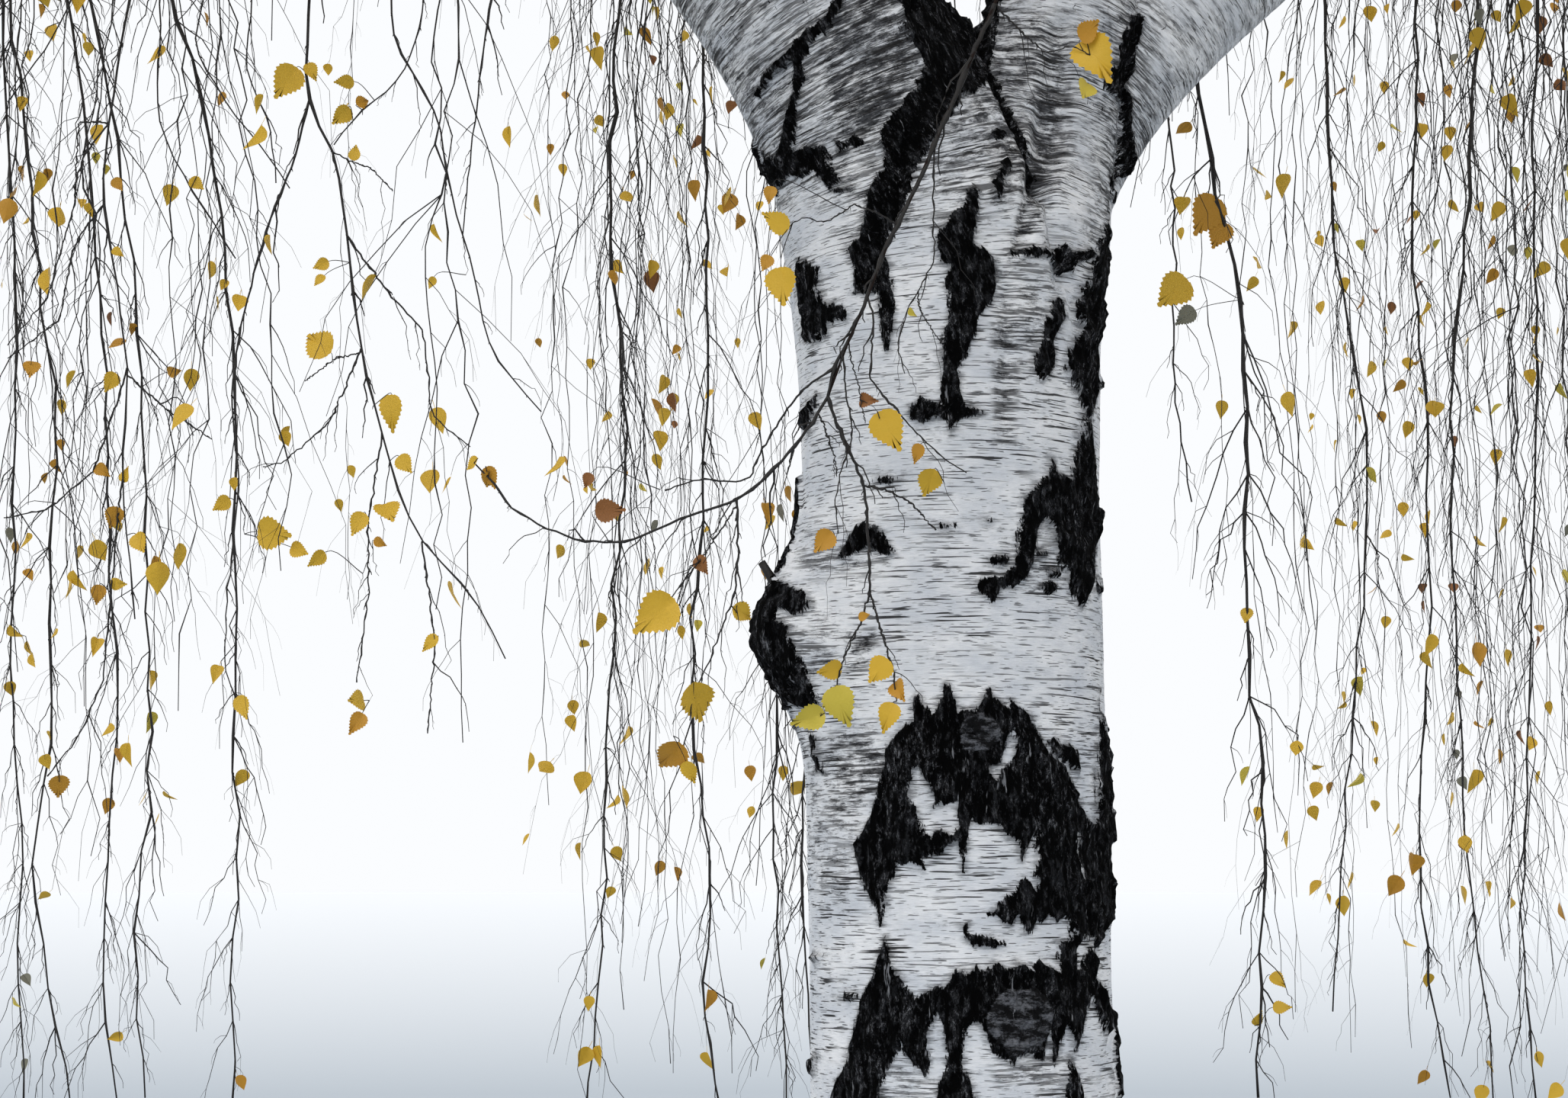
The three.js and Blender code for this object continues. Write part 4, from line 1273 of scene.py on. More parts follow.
def bough_skin(main):
    s = np.arange(FORK_END - 40, main.length, RING_STEP)
    s[-1] = main.length
    path = softened(along(main.path, s / main.length))
    first, second = bough_frame(unit(np.gradient(path, axis=0)))
    turn = 2 * np.pi * np.arange(BOUGH_SIDES) / BOUGH_SIDES
    ring = first[:, None] * np.cos(turn)[:, None] + second[:, None] * np.sin(turn)[:, None]
    girth = main_girth(main, s) - 1.5 * (1 - smooth((s - FORK_END + 40) / 80))
    points = (path[:, None] + ring * girth[:, None, None]).reshape(-1, 3)
    girth, length, turn = np.repeat(girth, BOUGH_SIDES), np.repeat(s, BOUGH_SIDES), np.tile(turn, len(s))
    patch = np.full(len(points), FAR_OUTSIDE)
    for at, towards, wide, tall, bend in bough_marks(main):
        across = np.abs((turn - towards + np.pi) % (2 * np.pi) - np.pi) * girth
        rise = np.abs(length - at + bend * across)
        patch = np.maximum(patch, (1 - across / wide - rise / tall) * min(wide, tall) * 0.75)
    height = relief(points, patch, 0) * np.clip(girth / 120, 0.25, 1)
    grain = np.stack([np.cos(turn) * girth, np.sin(turn) * girth, length + FORK_START], -1)
    blank = np.zeros(len(points))
    maps = {"patch": patch * MM, "grey": blank, "scar": blank, "grain": grain * MM, "young": blank}
    index = np.arange(len(points)).reshape(1, -1, BOUGH_SIDES)
    return points + ring.reshape(-1, 3) * height[:, None], walls(index), maps


points, faces, maps = gathered_maps([bough_skin(main) for main in MAIN_BOUGHS])
piece("bough_bark", points, faces, bark, "bough_bark", ["bough_" + main.name for main in MAIN_BOUGHS], maps)

# %% [markdown]
# ## Limbs
# Limbs leave a bough at a steep angle, arch outward and end in thin stems. Thinner side limbs fill the room
# between them. Their bark goes from white to a dark red-brown as they thin. Curves with a bevel would do it
# too, but then the colour couldn't follow the thickness. Here a number on each corner tells the finish how
# young the wood is.


# %% Lines of the limbs and their stems
FRONT_TWIG = [
    (1305, 5), (1200, 250), (1155, 340), (1140, 385), (1110, 455), (1093, 483), (1086, 520),
]
FRONT_DEPTH, FRONT_GIRTHS = -450, (2.7, 1.7)

for plan in curtains:
    plan.line = softened(along(plan.stem, np.linspace(0, 1, 13)))
    plan.girths = np.linspace(*plan.stem_girths, 13)
    if plan.label == "low_front":
        plan.line[4:] = even_steps(seen_line(FRONT_TWIG, FRONT_DEPTH), 8)
        plan.line[:4] = plan.tip + (plan.line[4] - plan.tip) * np.linspace(0, 1, 5)[:4, None]
        plan.girths = np.linspace(*FRONT_GIRTHS, 13)


def limb_line(plan):
    """The limb and its stem as one line with its girths."""
    limb = arch(plan.seat.point, plan.way, plan.tip, plan.heading, 0.36, 28)
    share = np.linspace(0, 1, 29)
    wave = np.stack([ripple(limb, 300, plan.seed + k) for k in range(3)], -1)
    limb = limb + wave * 9 * np.sin(np.pi * share)[:, None]
    girths = limb_girth(plan, share)
    if plan.label == "low_front":
        girths = girths + (4.5 - girths) * share**0.6
    return np.concatenate([limb[:-1], plan.line]), np.concatenate([girths[:-1], plan.girths])


for plan in limbs:
    plan.whole = limb_line(plan)
print("limbs with their stems:", len(limbs), "of", len(limbs[0].whole[0]), "points each")


# %% Side limbs between them
def side_limb(main, number, s):
    """A thin limb off a bough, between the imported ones, with the same kind of arch."""
    seed = int(main.length) + number
    azimuth = 137.5 * number + main.azimuth
    point = along(main.path, np.array(s / main.length))
    room = CROWN_RADIUS * (0.62 - 0.34 * (point[2] - 3000) / 8000)
    reach = max(room - math.hypot(*(point + compass(azimuth) * 600)[:2]), 350)
    reach = min(between(seed, 31, 650, 1500), reach)
    tip = point + compass(azimuth) * reach + UP * reach * between(seed, 32, 0.35, 0.75)
    way, heading = unit(compass(azimuth) * 0.7 + UP * 0.7), unit(compass(azimuth) - UP * 0.35)
    line = arch(point, way, tip, heading, 0.4, 12)
    girths = main_girth(main, s) * 0.16 + 5 - np.linspace(0, 1, 13) * (main_girth(main, s) * 0.16 + 1)
    tier, whole = SimpleNamespace(name="side"), (line, girths)
    return SimpleNamespace(seed=seed, azimuth=azimuth, tier=tier, whole=whole, label="top_" + main.name)


side_limbs = []
for main in MAIN_BOUGHS:
    for number, s in enumerate(np.arange(1900, main.length * 0.97, 400)):
        side_limbs.append(side_limb(main, number, s))
print("side limbs:", len(side_limbs))


# %% Their tubes as one piece
def wood_tubes(lines, sides):
    """Tubes with the maps that the bark's finish reads."""
    paths, girths = np.array([line for line, _ in lines]), np.array([girth for _, girth in lines])
    points, faces = tubes(paths, girths, sides)
    steps = np.linalg.norm(np.diff(paths, axis=1), axis=2)
    length = np.concatenate([np.zeros((len(paths), 1)), np.cumsum(steps, axis=1)], 1)
    length += 700 * np.arange(len(paths))[:, None]
    turn = np.broadcast_to(2 * np.pi * np.arange(sides) / sides, (*girths.shape, sides))
    round_it = [np.cos(turn) * girths[..., None], np.sin(turn) * girths[..., None]]
    grain = np.stack([*round_it, np.broadcast_to(length[..., None], turn.shape)], -1).reshape(-1, 3)
    girth = np.repeat(girths.ravel(), sides)
    blank = np.zeros(len(points))
    young = 1 - smooth((girth + 4 * ripple(points, 60, 5) - 13) / 18)
    maps = {"patch": blank - 0.06, "grey": blank, "scar": blank, "grain": grain * MM, "young": young}
    return points, faces, maps


points, faces, maps = gathered_maps([
    wood_tubes([plan.whole for plan in limbs], 12),
    wood_tubes([(plan.line, plan.girths) for plan in tops], 12),
    wood_tubes([plan.whole for plan in side_limbs], 7),
])
piece("limb_bark", points, faces, bark, "bough_bark", ["limb_" + plan.label for plan in limbs], maps)

# %% [markdown]
# ## Hanging twigs
# A weeping birch drops its twigs in long strings with short side twigs. A hair system would make them
# fast, but it is lost on export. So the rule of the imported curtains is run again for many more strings:
# each takes its own share of the curtain's room, arches over from the stem and falls. A string ends where
# it would touch wood, or hang in the room that the picture shows empty.


# %% Strings by the curtains' rule
# Steps that spread numbered places evenly over a square
FIRST_STEP, SECOND_STEP = 0.7548776662, 0.569840291


def part_of(x):
    return x - math.floor(x)


def string_of(plan, number):
    """Where one string starts, where it hangs and how far it falls."""
    seed = plan.seed * 31 + number
    depth = part_of(chance(plan.seed, 6) + number * FIRST_STEP)
    side = 2 * part_of(chance(plan.seed, 7) + number * SECOND_STEP) - 1
    place = plan.inner + (plan.outer - plan.inner) * depth
    base = along(plan.line, np.clip((place - plan.radius) / plan.reach - 0.15, 0.12, 0.97))
    hang = compass(plan.azimuth + side * plan.half * 0.86) * place + UP * base[2]
    drop = (base[2] - plan.hem) * between(seed, 2, 0.76, 1)
    return [*base, *hang, drop, between(seed, 3, 40, 150), chance(seed, 4), chance(seed, 5), chance(seed, 9)]


def inner_string_of(plan, number):
    """A string that hangs from the limb itself, inside the curtains."""
    seed = plan.seed * 53 + number
    share = 0.3 + 0.68 * part_of(chance(plan.seed, 16) + number * FIRST_STEP)
    base = along(plan.whole[0][:29], np.array(share))
    wide = 330 if plan.tier.name == "side" else 520
    flank = compass(plan.azimuth + 90) * between(seed, 12, 110, wide) * (1 if number % 2 else -1)
    hang = base + flank + compass(plan.azimuth) * between(seed, 13, -160, 260)
    if plan.tier.name == "side":
        drop = min(between(seed, 14, 900, 3000), base[2] - 1500)
    else:
        hem, spread = INNER_HEMS[plan.tier.name]
        drop = (base[2] - hem - spread * chance(seed, 14)) * 0.95
    return [*base, *hang, drop, between(seed, 3, 40, 110), chance(seed, 4), chance(seed, 5), chance(seed, 9)]


def fall(strings, u):
    """Points of strings at shares of their length."""
    base, hang = strings[:, None, 0:3], strings[:, None, 3:6]
    drop, rise, first, second = (strings[:, k, None] for k in range(6, 10))
    v = np.minimum(u / 0.4, 1)
    points = base + (hang - base) * (1 - (1 - v) ** 2)[..., None]
    sway = 30 * u * np.sin(2 * np.pi * (1.3 * u + first))
    points[..., 0] += sway
    points[..., 1] += sway * (2 * second - 1)
    points[..., 2] += rise * np.sin(np.pi * v) - drop * u**1.45
    return points


# %% Where a string has to end
# Picture column where each stretch begins, share of strings kept there, and how low they reach
VEIL = [
    (-200, 0.72, 1500), (190, 0.45, 1450), (330, 0.22, 1000), (640, 0.3, 1100), (780, 0.85, 1500),
    (1040, 0.45, 1500), (1450, 0.15, 900), (1530, 0.4, 1500), (1600, 0.9, 1500), (2260, 1, 1500),
]
FRONT_ROOM = -1100
FRAME_MARGIN = 60


def in_frame(points, margin):
    places, depth = picture_place(points)
    x, y = places[..., 0], places[..., 1]
    wide, tall = PICTURE
    return (depth > 0) & (x > -margin) & (x < wide + margin) & (y > -margin) & (y < tall + margin)


def veiled(points, luck):
    """Points that the picture leaves empty."""
    places, _ = picture_place(points)
    column = np.clip(np.searchsorted([each[0] for each in VEIL], places[..., 0]) - 1, 0, len(VEIL) - 1)
    table = np.array(VEIL)
    thin = luck > table[column, 1]
    low = places[..., 1] > table[column, 2] + 160 * (luck / np.maximum(table[column, 1], 0.1) - 0.5)
    before_trunk = (points[..., 1] < 250) & (np.abs(places[..., 0] - 1220) < 260)
    return in_frame(points, FRAME_MARGIN) & ((points[..., 1] < FRONT_ROOM) | thin | low | before_trunk)


def touches_wood(points, spare=12):
    """Points inside or close to the trunk, a bough or a limb."""
    flat = points.reshape(-1, 3)
    hit = np.zeros(len(flat), bool)
    for main in MAIN_BOUGHS:
        gap, s, _ = nearest_on(flat, main.path[::2], main.length)
        hit |= gap < main_girth(main, s) + spare + 8
    for plan in limbs:
        gap, s, _ = nearest_on(flat, plan.path, 1)
        hit |= gap < limb_girth(plan, s) + spare
    hit |= (np.hypot(flat[:, 0] - TRUNK_LEAN * flat[:, 2], flat[:, 1]) < 270) & (flat[:, 2] < CROTCH_HEIGHT)
    return hit.reshape(points.shape[:-1])


# %% All strings, with their ends
STRINGS = {"outer": 62, "middle": 50, "upper": 40, "top": 40, "low": 24}
INNER_STRINGS = {"outer": 20, "middle": 16, "upper": 11, "side": 8, "top": 0, "low": 0}
INNER_HEMS = {"outer": (1000, 1500), "middle": (2500, 2300), "upper": (4000, 2600)}
LOOKS = 121
rows, owners = [], []
for index, plan in enumerate(curtains):
    if plan.label == "low_front":
        continue
    for number in range(STRINGS[plan.tier.name]):
        rows.append(string_of(plan, number))
        owners.append(index)
    for number in range(INNER_STRINGS[plan.tier.name]):
        rows.append(inner_string_of(plan, number))
        owners.append(index)
for plan in side_limbs:
    owner = next(index for index, other in enumerate(curtains) if other.label == plan.label)
    for number in range(INNER_STRINGS["side"]):
        rows.append(inner_string_of(plan, number))
        owners.append(owner)
strings, owners = np.array(rows), np.array(owners)
strings, owners = strings[strings[:, 6] > 500], owners[strings[:, 6] > 500]
shares = np.linspace(0, 1, LOOKS)
looks = fall(strings, np.tile(shares, (len(strings), 1)))
blocked = veiled(looks, strings[:, 10, None])
blocked[:, 10::4] |= touches_wood(looks[:, 10::4])
blocked[:, -1] = True
ends = shares[np.argmax(blocked, axis=1)]
ends[ends < 1] -= 3 / LOOKS
keep = ends > 0.15
strings, owners, ends, looks = strings[keep], owners[keep], ends[keep], looks[keep]
shown = (in_frame(looks, 40) & (shares < ends[:, None])).any(axis=1)
# The picture is open between the strings, so one in four of those in it is left out
kept = ~shown | (np.arange(len(strings)) % 4 > 0)
strings, owners, ends, shown = strings[kept], owners[kept], ends[kept], shown[kept]
print("strings:", len(strings), "of which the picture shows", shown.sum())

# %% [markdown]
# ## Side twigs
# Each string carries side twigs that start at a slant and bend down, and the longer ones branch again.
# Making them one at a time would be slow, so each order of twig is made for all its parents at once.

# %% Twigs on twigs
DOWN = -UP


def side_twigs(parents, girths, rng, count, lengths, steps, first=0.1, slant=(32, 58), kink=0.02):
    """Side twigs for many lines at once: lines, girths and the number of the parent of each."""
    many, rings, _ = parents.shape
    share = first + (0.99 - first) * (np.arange(count) + rng.random((many, count))) / count
    ring = np.minimum((share * (rings - 1)).astype(int), rings - 2)
    which = np.arange(many)[:, None]
    root = parents[which, ring]
    way = unit(parents[which, ring + 1] - root)
    flank = rng.normal(size=root.shape)
    flank = unit(flank - way * np.sum(flank * way, -1, keepdims=True))
    lean = np.radians(rng.uniform(*slant, size=share.shape))[..., None]
    leaving = way * np.cos(lean) + flank * np.sin(lean)
    long = lengths[0] + (lengths[1] - lengths[0]) * rng.random(share.shape) ** 2.2
    long = (long * (1 - 0.3 * share))[..., None, None]
    w = np.linspace(0, 1, steps + 1)[:, None]
    line = leaving[..., None, :] * (w - 0.42 * w * w) + DOWN * (0.42 * w * w)
    bend = rng.normal(size=(many, count, steps + 1, 3)) * kink
    bend[..., 0, :] = 0
    line = root[..., None, :] + long * (line + bend * w**0.5)
    thick = np.minimum(girths[which, ring] * 0.62, 1.7)[..., None]
    girth = thick * np.linspace(1, 0.45, steps + 1)
    return line.reshape(-1, steps + 1, 3), girth.reshape(-1, steps + 1), np.repeat(np.arange(many), count)


def wandering(lines, rng, wide, kink):
    """Lines with a slow wander and a small zigzag from bud to bud, their starts kept."""
    many, rings, _ = lines.shape
    slow = np.cumsum(rng.normal(size=(many, rings, 3)), axis=1)
    slow -= slow[:, :1]
    slow *= np.array([1, 1, 0.1]) * wide / rings**0.5
    zigzag = rng.normal(size=(many, rings, 3)) * [1, 1, 0.2] * kink
    zigzag[:, 0] = 0
    return lines + slow + zigzag


def clear(lines):
    """Lines whose ends are in free room and inside the tree's box."""
    tip, middle = lines[:, -1], lines[:, lines.shape[1] // 2]
    boxed = ((tip > BOX_LOW) & (tip < BOX_HIGH)).all(axis=1) & (tip[:, 2] > 120)
    in_the_way = (in_frame(lines, 30) & (lines[..., 1] < FRONT_ROOM)).any(axis=1)
    return boxed & ~in_the_way & ~touches_wood(tip, 4) & ~touches_wood(middle, 4)


# %% Coarse strings out of view, fine ones in it
def grown(strings, ends, rings, thick, wander, kink, seed, orders):
    """Strings and their side twigs: a list of lines with girths and the number of each one's string."""
    rng = np.random.default_rng(seed)
    u = ends[:, None] * np.linspace(0, 1, rings)
    lines = wandering(fall(strings, u), rng, wander, kink)
    girths = thick[0] + (thick[1] - thick[0]) * np.linspace(0, 1, rings)
    girths = np.tile(girths, (len(lines), 1)) * rng.uniform(0.8, 1.15, (len(lines), 1))
    stout = (rng.random((len(lines), 1)) < STOUT_SHARE) * STOUT * thick[0]
    girths = girths + stout * np.maximum(1 - u / 0.42, 0) ** 1.3
    girths *= 1 + 0.55 * (rng.random(girths.shape) < 0.25)
    levels = [(lines, girths, np.arange(len(lines)))]
    for count, lengths, steps, first, least in orders:
        parents, parent_girths, owner = levels[-1]
        long_enough = np.linalg.norm(parents[:, -1] - parents[:, 0], axis=1) > least
        parents, parent_girths, owner = parents[long_enough], parent_girths[long_enough], owner[long_enough]
        made, made_girths, parent = side_twigs(parents, parent_girths, rng, count, lengths, steps, first)
        good = clear(made)
        levels.append((made[good], made_girths[good], owner[parent][good]))
    return levels


STOUT_SHARE, STOUT = 0.22, 1.6
COARSE = [(9, (90, 640), 3, 0.1, 0)]
FINE = [(23, (60, 600), 6, 0.1, 0), (3, (30, 190), 3, 0.2, 140)]
coarse = grown(strings[~shown], ends[~shown], 13, (3.4, 1.6), 30, 6, 3, COARSE)
fine = grown(strings[shown], ends[shown], 56, (1.9, 0.75), 34, 4.6, 4, FINE)
for name, levels in (("coarse", coarse), ("fine", fine)):
    print(name, "twigs by order:", [len(level[0]) for level in levels])

# %% The twigs' finish and pieces
twig = Finish("twig_bark", 0.62)
spot = twig.node("ShaderNodeTexCoord", output="Object")
twig_noise = twig.noise(spot, (260, 260, 260), 3.0)
red_brown = twig.mixed(twig_noise, (0.004, 0.0035, 0.0035), (0.018, 0.014, 0.012))
twig.feed(twig.shader.inputs["Base Color"], red_brown)
twig.bump(twig_noise, 0.0006, 0.8)
GROUPS = {
    "twigs_low_a": ["low_left", "low_rear"],
    "twigs_low_b": ["low_far", "low_right", "low_side"],
    "twigs_outer_a": ["outer_01", "outer_02"],
    "twigs_outer_b": ["outer_03", "outer_04"],
    "twigs_outer_c": ["outer_05", "outer_06", "outer_07"],
    "twigs_outer_d": ["outer_08", "outer_09"],
    "twigs_middle": [f"middle_{k:02d}" for k in range(1, 7)],
    "twigs_upper": [f"upper_{k:02d}" for k in range(1, 5)],
    "twigs_top": ["top_left", "top_middle", "top_right"],
}
labels = np.array([plan.label for plan in curtains])
for name, members in GROUPS.items():
    chosen = np.isin(labels, members)
    parts = []
    for levels, mine in ((coarse, owners[~shown]), (fine, owners[shown])):
        for lines, girths, string in levels:
            pick = chosen[mine[string]]
            if pick.any():
                parts.append(tubes(lines[pick], girths[pick], 3))
    piece(name, *gathered(parts), twig, "bough_bark", ["curtain_" + member for member in members])

# %% [markdown]
# ## The twigs nearest to the viewpoint
# In front of the trunk a branched twig hangs down, and to the left a cluster of strings. Grown by the rule
# they would fall elsewhere. Each is drawn here by its places in the picture and then set at the depth of
# the limb that carries it, so it also hangs rightly from the sides. Short spurs and buds are grown on it.

# %% Their lines in the picture
# Depth, girths at start and end, and the line
NEAR_TWIGS = [
    (FRONT_DEPTH, 2.5, 1.7, FRONT_TWIG),
    (-450, 1.2, 0.7, [(1093, 483), (1062, 503), (1040, 525), (998, 592), (985, 625), (972, 632), (915, 629),
                      (872, 643)]),
    (-455, 1.6, 0.8, [(1086, 520), (1072, 545), (1050, 575), (1008, 625), (990, 640), (962, 658), (895, 679),
                      (823, 712), (761, 710), (710, 691), (669, 666), (653, 640), (622, 607)]),
    (-455, 1.2, 0.6, [(970, 660), (970, 700), (965, 775), (930, 870), (910, 905), (905, 945)]),
    (-450, 0.9, 0.6, [(967, 663), (915, 740), (874, 792)]),
    (-445, 1.6, 1.3, [(1086, 520), (1100, 560), (1118, 600), (1133, 635), (1137, 680), (1140, 720),
                      (1141, 775)]),
    (-445, 1.2, 0.7, [(1141, 775), (1128, 820), (1108, 860), (1095, 905), (1085, 930)]),
    (-445, 1.2, 0.7, [(1141, 775), (1152, 815), (1163, 850), (1172, 880), (1176, 920)]),
    (-445, 1.1, 0.6, [(1133, 635), (1160, 642), (1190, 655), (1205, 670), (1217, 685), (1228, 695)]),
    (-460, 1.1, 0.6, [(1140, 390), (1148, 420), (1140, 495), (1158, 518), (1212, 577), (1240, 602),
                      (1268, 620)]),
    (-440, 0.9, 0.5, [(1225, 190), (1225, 345), (1205, 380), (1190, 410), (1180, 440), (1178, 455),
                      (1187, 490)]),
    (-440, 0.8, 0.5, [(1205, 380), (1205, 400), (1215, 420), (1235, 450)]),
    (-452, 1.0, 0.5, [(1110, 460), (1108, 500), (1118, 560), (1115, 590), (1105, 610), (1098, 640),
                      (1096, 665),
                      (1100, 700)]),
    (-448, 0.8, 0.5, [(1113, 450), (1118, 480), (1125, 500), (1130, 530), (1135, 555)]),
    (-450, 0.9, 0.5, [(1075, 540), (1085, 570), (1095, 600), (1098, 625)]),
    (-460, 0.9, 0.5, [(1180, 290), (1120, 268), (1085, 292), (1055, 285), (1040, 292)]),
    (-445, 1.0, 0.5, [(1305, 5), (1338, 40), (1372, 70), (1408, 60), (1430, 72)]),
]
LEFT_TWIGS = [
    (1.9, [(170, 0), (144, 154), (132, 257), (149, 339), (170, 494), (159, 617), (177, 812)]),
    (1.3, [(211, 0), (206, 154), (237, 226), (278, 288), (309, 339)]),
    (1.3, [(267, 0), (252, 62), (309, 154), (339, 185), (380, 247)]),
    (2.3, [(406, 0), (401, 134), (442, 206), (473, 463), (525, 658), (555, 720), (617, 771), (663, 864)]),
    (1.5, [(643, 0), (617, 206), (607, 309)]),
    (1.4, [(93, 0), (62, 62), (10, 134)]),
    (1.5, [(514, 0), (514, 51), (576, 154), (591, 257), (617, 339), (643, 463), (710, 540)]),
    (1.2, [(330, 0), (322, 90), (356, 170), (362, 240)]),
    (1.2, [(556, 0), (545, 60), (520, 110), (468, 150), (438, 190)]),
    (1.2, [(30, 0), (20, 90), (24, 180), (12, 250)]),
]
LEFT_BRANCHES = [
    (1.2, [(401, 134), (386, 206), (350, 298), (319, 411), (303, 514), (314, 638), (298, 782), (293, 874),
           (309, 915)]),
    (1.1, [(473, 463), (432, 555), (370, 607), (345, 612)]),
    (1.1, [(453, 309), (515, 391), (555, 432), (566, 545), (617, 586)]),
    (1.0, [(103, 154), (98, 267), (62, 391), (10, 453)]),
    (1.1, [(170, 494), (144, 555), (123, 617), (62, 669), (5, 679)]),
    (1.1, [(159, 617), (154, 669), (144, 802), (134, 895), (103, 967), (62, 1018)]),
    (1.0, [(555, 720), (571, 843), (561, 962)]),
    (1.0, [(504, 576), (483, 679), (483, 782), (468, 895)]),
    (1.0, [(170, 494), (216, 535), (278, 576)]),
    (0.9, [(144, 154), (103, 160), (98, 267)]),
    (0.9, [(132, 257), (95, 330), (78, 420), (10, 470)]),
    (0.8, [(442, 206), (486, 220), (515, 250)]),
    (0.8, [(473, 463), (440, 470), (400, 500)]),
]
LEFT_DEPTH = -300
SHOWN_SIZE = 1.0285
# The limb that each hangs from, depth, girth and line
BACK_TWIGS = [
    ("low_right", 340, 3.0, [(1522, 110), (1545, 190), (1560, 290), (1590, 410), (1588, 480), (1590, 700),
                             (1595, 880), (1610, 950), (1612, 1100), (1605, 1400)]),
    ("low_rear", 1250, 2.6, [(1025, 400), (1045, 560), (1018, 700), (1000, 800), (985, 1000), (1005, 1440)]),
    ("low_rear", 1250, 2.6, [(1045, 340), (1043, 640), (1030, 750), (1030, 900), (1020, 1100), (1038, 1440)]),
    ("low_rear", 1150, 2.6, [(780, 120), (778, 300), (800, 560), (775, 900), (772, 1100), (765, 1250),
                             (748, 1420)]),
    ("low_rear", 1100, 2.4, [(900, 220), (905, 480), (890, 700), (880, 900), (905, 1100), (900, 1300),
                             (920, 1420)]),
    ("outer_04", 1700, 2.8, [(60, 430), (75, 560), (68, 700), (60, 800), (72, 900), (40, 1100), (50, 1200),
                             (70, 1290), (90, 1410)]),
    ("outer_04", 1650, 2.8, [(130, 420), (140, 700), (150, 860), (150, 960), (140, 1100), (130, 1200),
                             (135, 1290),
                             (150, 1410)]),
    ("outer_04", 1500, 3.0, [(300, 500), (300, 1000), (305, 1100), (295, 1180), (298, 1280), (296, 1410)]),
    ("outer_04", 1750, 2.4, [(20, 500), (15, 900), (30, 1100), (20, 1250), (30, 1410)]),
    ("outer_04", 1600, 2.4, [(185, 600), (190, 1000), (170, 1250), (185, 1400)]),
    ("outer_02", 1900, 3.0, [(1885, 0), (1870, 300), (1850, 500), (1860, 900), (1870, 1100), (1900, 1300),
                             (1905, 1410)]),
    ("outer_02", 2100, 2.8, [(1960, 0), (1955, 200), (1960, 500), (1950, 900), (1940, 1150), (1960, 1410)]),
    ("outer_02", 2000, 2.8, [(1810, 0), (1800, 300), (1820, 560), (1825, 800), (1810, 1000), (1815, 1200),
                             (1850, 1400)]),
    ("outer_02", 1800, 2.4, [(1690, 0), (1700, 300), (1745, 560), (1735, 800), (1720, 1000), (1700, 1290)]),
    ("low_far", 1500, 2.2, [(1490, 150), (1500, 300), (1496, 480), (1520, 640)]),
]
print("lines drawn:", len(NEAR_TWIGS) + len(LEFT_TWIGS) + len(LEFT_BRANCHES) + len(BACK_TWIGS))


# %% From places to hanging lines
NEAR_STEPS = 44
NEAR_GIRTH = 1.4


def evened(corners, steps):
    """A line with even steps and its corners softened."""
    line = even_steps(corners, steps)
    line[1:-1] = (line[:-2] + 2 * line[1:-1] + line[2:]) / 4
    return line


def hung(label, line, depth):
    """A line of the picture, carried up to the limb above it."""
    corners = seen_line(line, depth)
    plan = next(plan for plan in limbs if plan.label == label)
    wood = plan.whole[0][8:]
    gap = np.abs(wood[:, 0] - corners[0, 0]) + 0.6 * np.abs(wood[:, 1] - corners[0, 1])
    start = wood[np.argmin(gap)]
    leaving, arriving = unit(corners[0] - start + UP * 120), unit(corners[1] - corners[0])
    curve = arch(start, leaving, corners[0], arriving, 0.35, 6)
    return evened(np.concatenate([curve[:-1], corners]), NEAR_STEPS)


def branch(line, depth, carriers):
    """A line of the picture that starts on the nearest point of those that carry it."""
    made = evened(seen_line(line, depth), NEAR_STEPS)
    others = np.concatenate(carriers)
    shift = others[np.argmin(np.linalg.norm(others - made[0], axis=1))] - made[0]
    fade = np.maximum(1 - np.arange(NEAR_STEPS + 1) / 14, 0)[:, None] ** 2
    return made + shift * fade


def shown_px(line):
    return [(px * SHOWN_SIZE, py * SHOWN_SIZE) for px, py in line]


near_lines, near_ends = [], []
for depth, start, end, line in NEAR_TWIGS:
    carriers = near_lines or [limbs[0].line]
    near_lines.append(branch(line, depth, carriers))
    near_ends.append((start, end))
for thick, line in LEFT_TWIGS:
    near_lines.append(hung("low_left", line, LEFT_DEPTH))
    near_ends.append((thick, 0.7))
for thick, line in LEFT_BRANCHES:
    near_lines.append(branch(line, LEFT_DEPTH, near_lines))
    near_ends.append((thick, 0.6))
for label, depth, thick, line in BACK_TWIGS:
    near_lines.append(hung(label, shown_px(line), depth))
    near_ends.append((thick, 1.2))
near_lines = np.array(near_lines)
near_girths = np.array([np.linspace(*ends, NEAR_STEPS + 1) for ends in near_ends]) * NEAR_GIRTH
front, back = slice(0, -len(BACK_TWIGS)), slice(-len(BACK_TWIGS), None)
rng = np.random.default_rng(21)
zigzag = np.full(len(near_lines), 0.8)
zigzag[back] = 3.2
near_lines[:, 1:-1] += rng.normal(size=(len(near_lines), NEAR_STEPS - 1, 3)) * zigzag[:, None, None]
near_girths *= 1 + 0.5 * (rng.random(near_girths.shape) < 0.2)
print("near twigs:", len(near_lines))


# %% Spurs, buds and sprigs on them
def spurs(lines, girths, count, spacing, lengths, steps, slant):
    """Side twigs of the near twigs, about one for each stretch of spacing."""
    made, thin, parent = side_twigs(lines, girths, rng, count, lengths, steps, 0.08, slant, 0.03)
    long = np.linalg.norm(np.diff(lines, axis=1), axis=2).sum(axis=1)
    wanted = rng.random(len(made)) < (long / spacing / count)[parent]
    return made[wanted], thin[wanted]


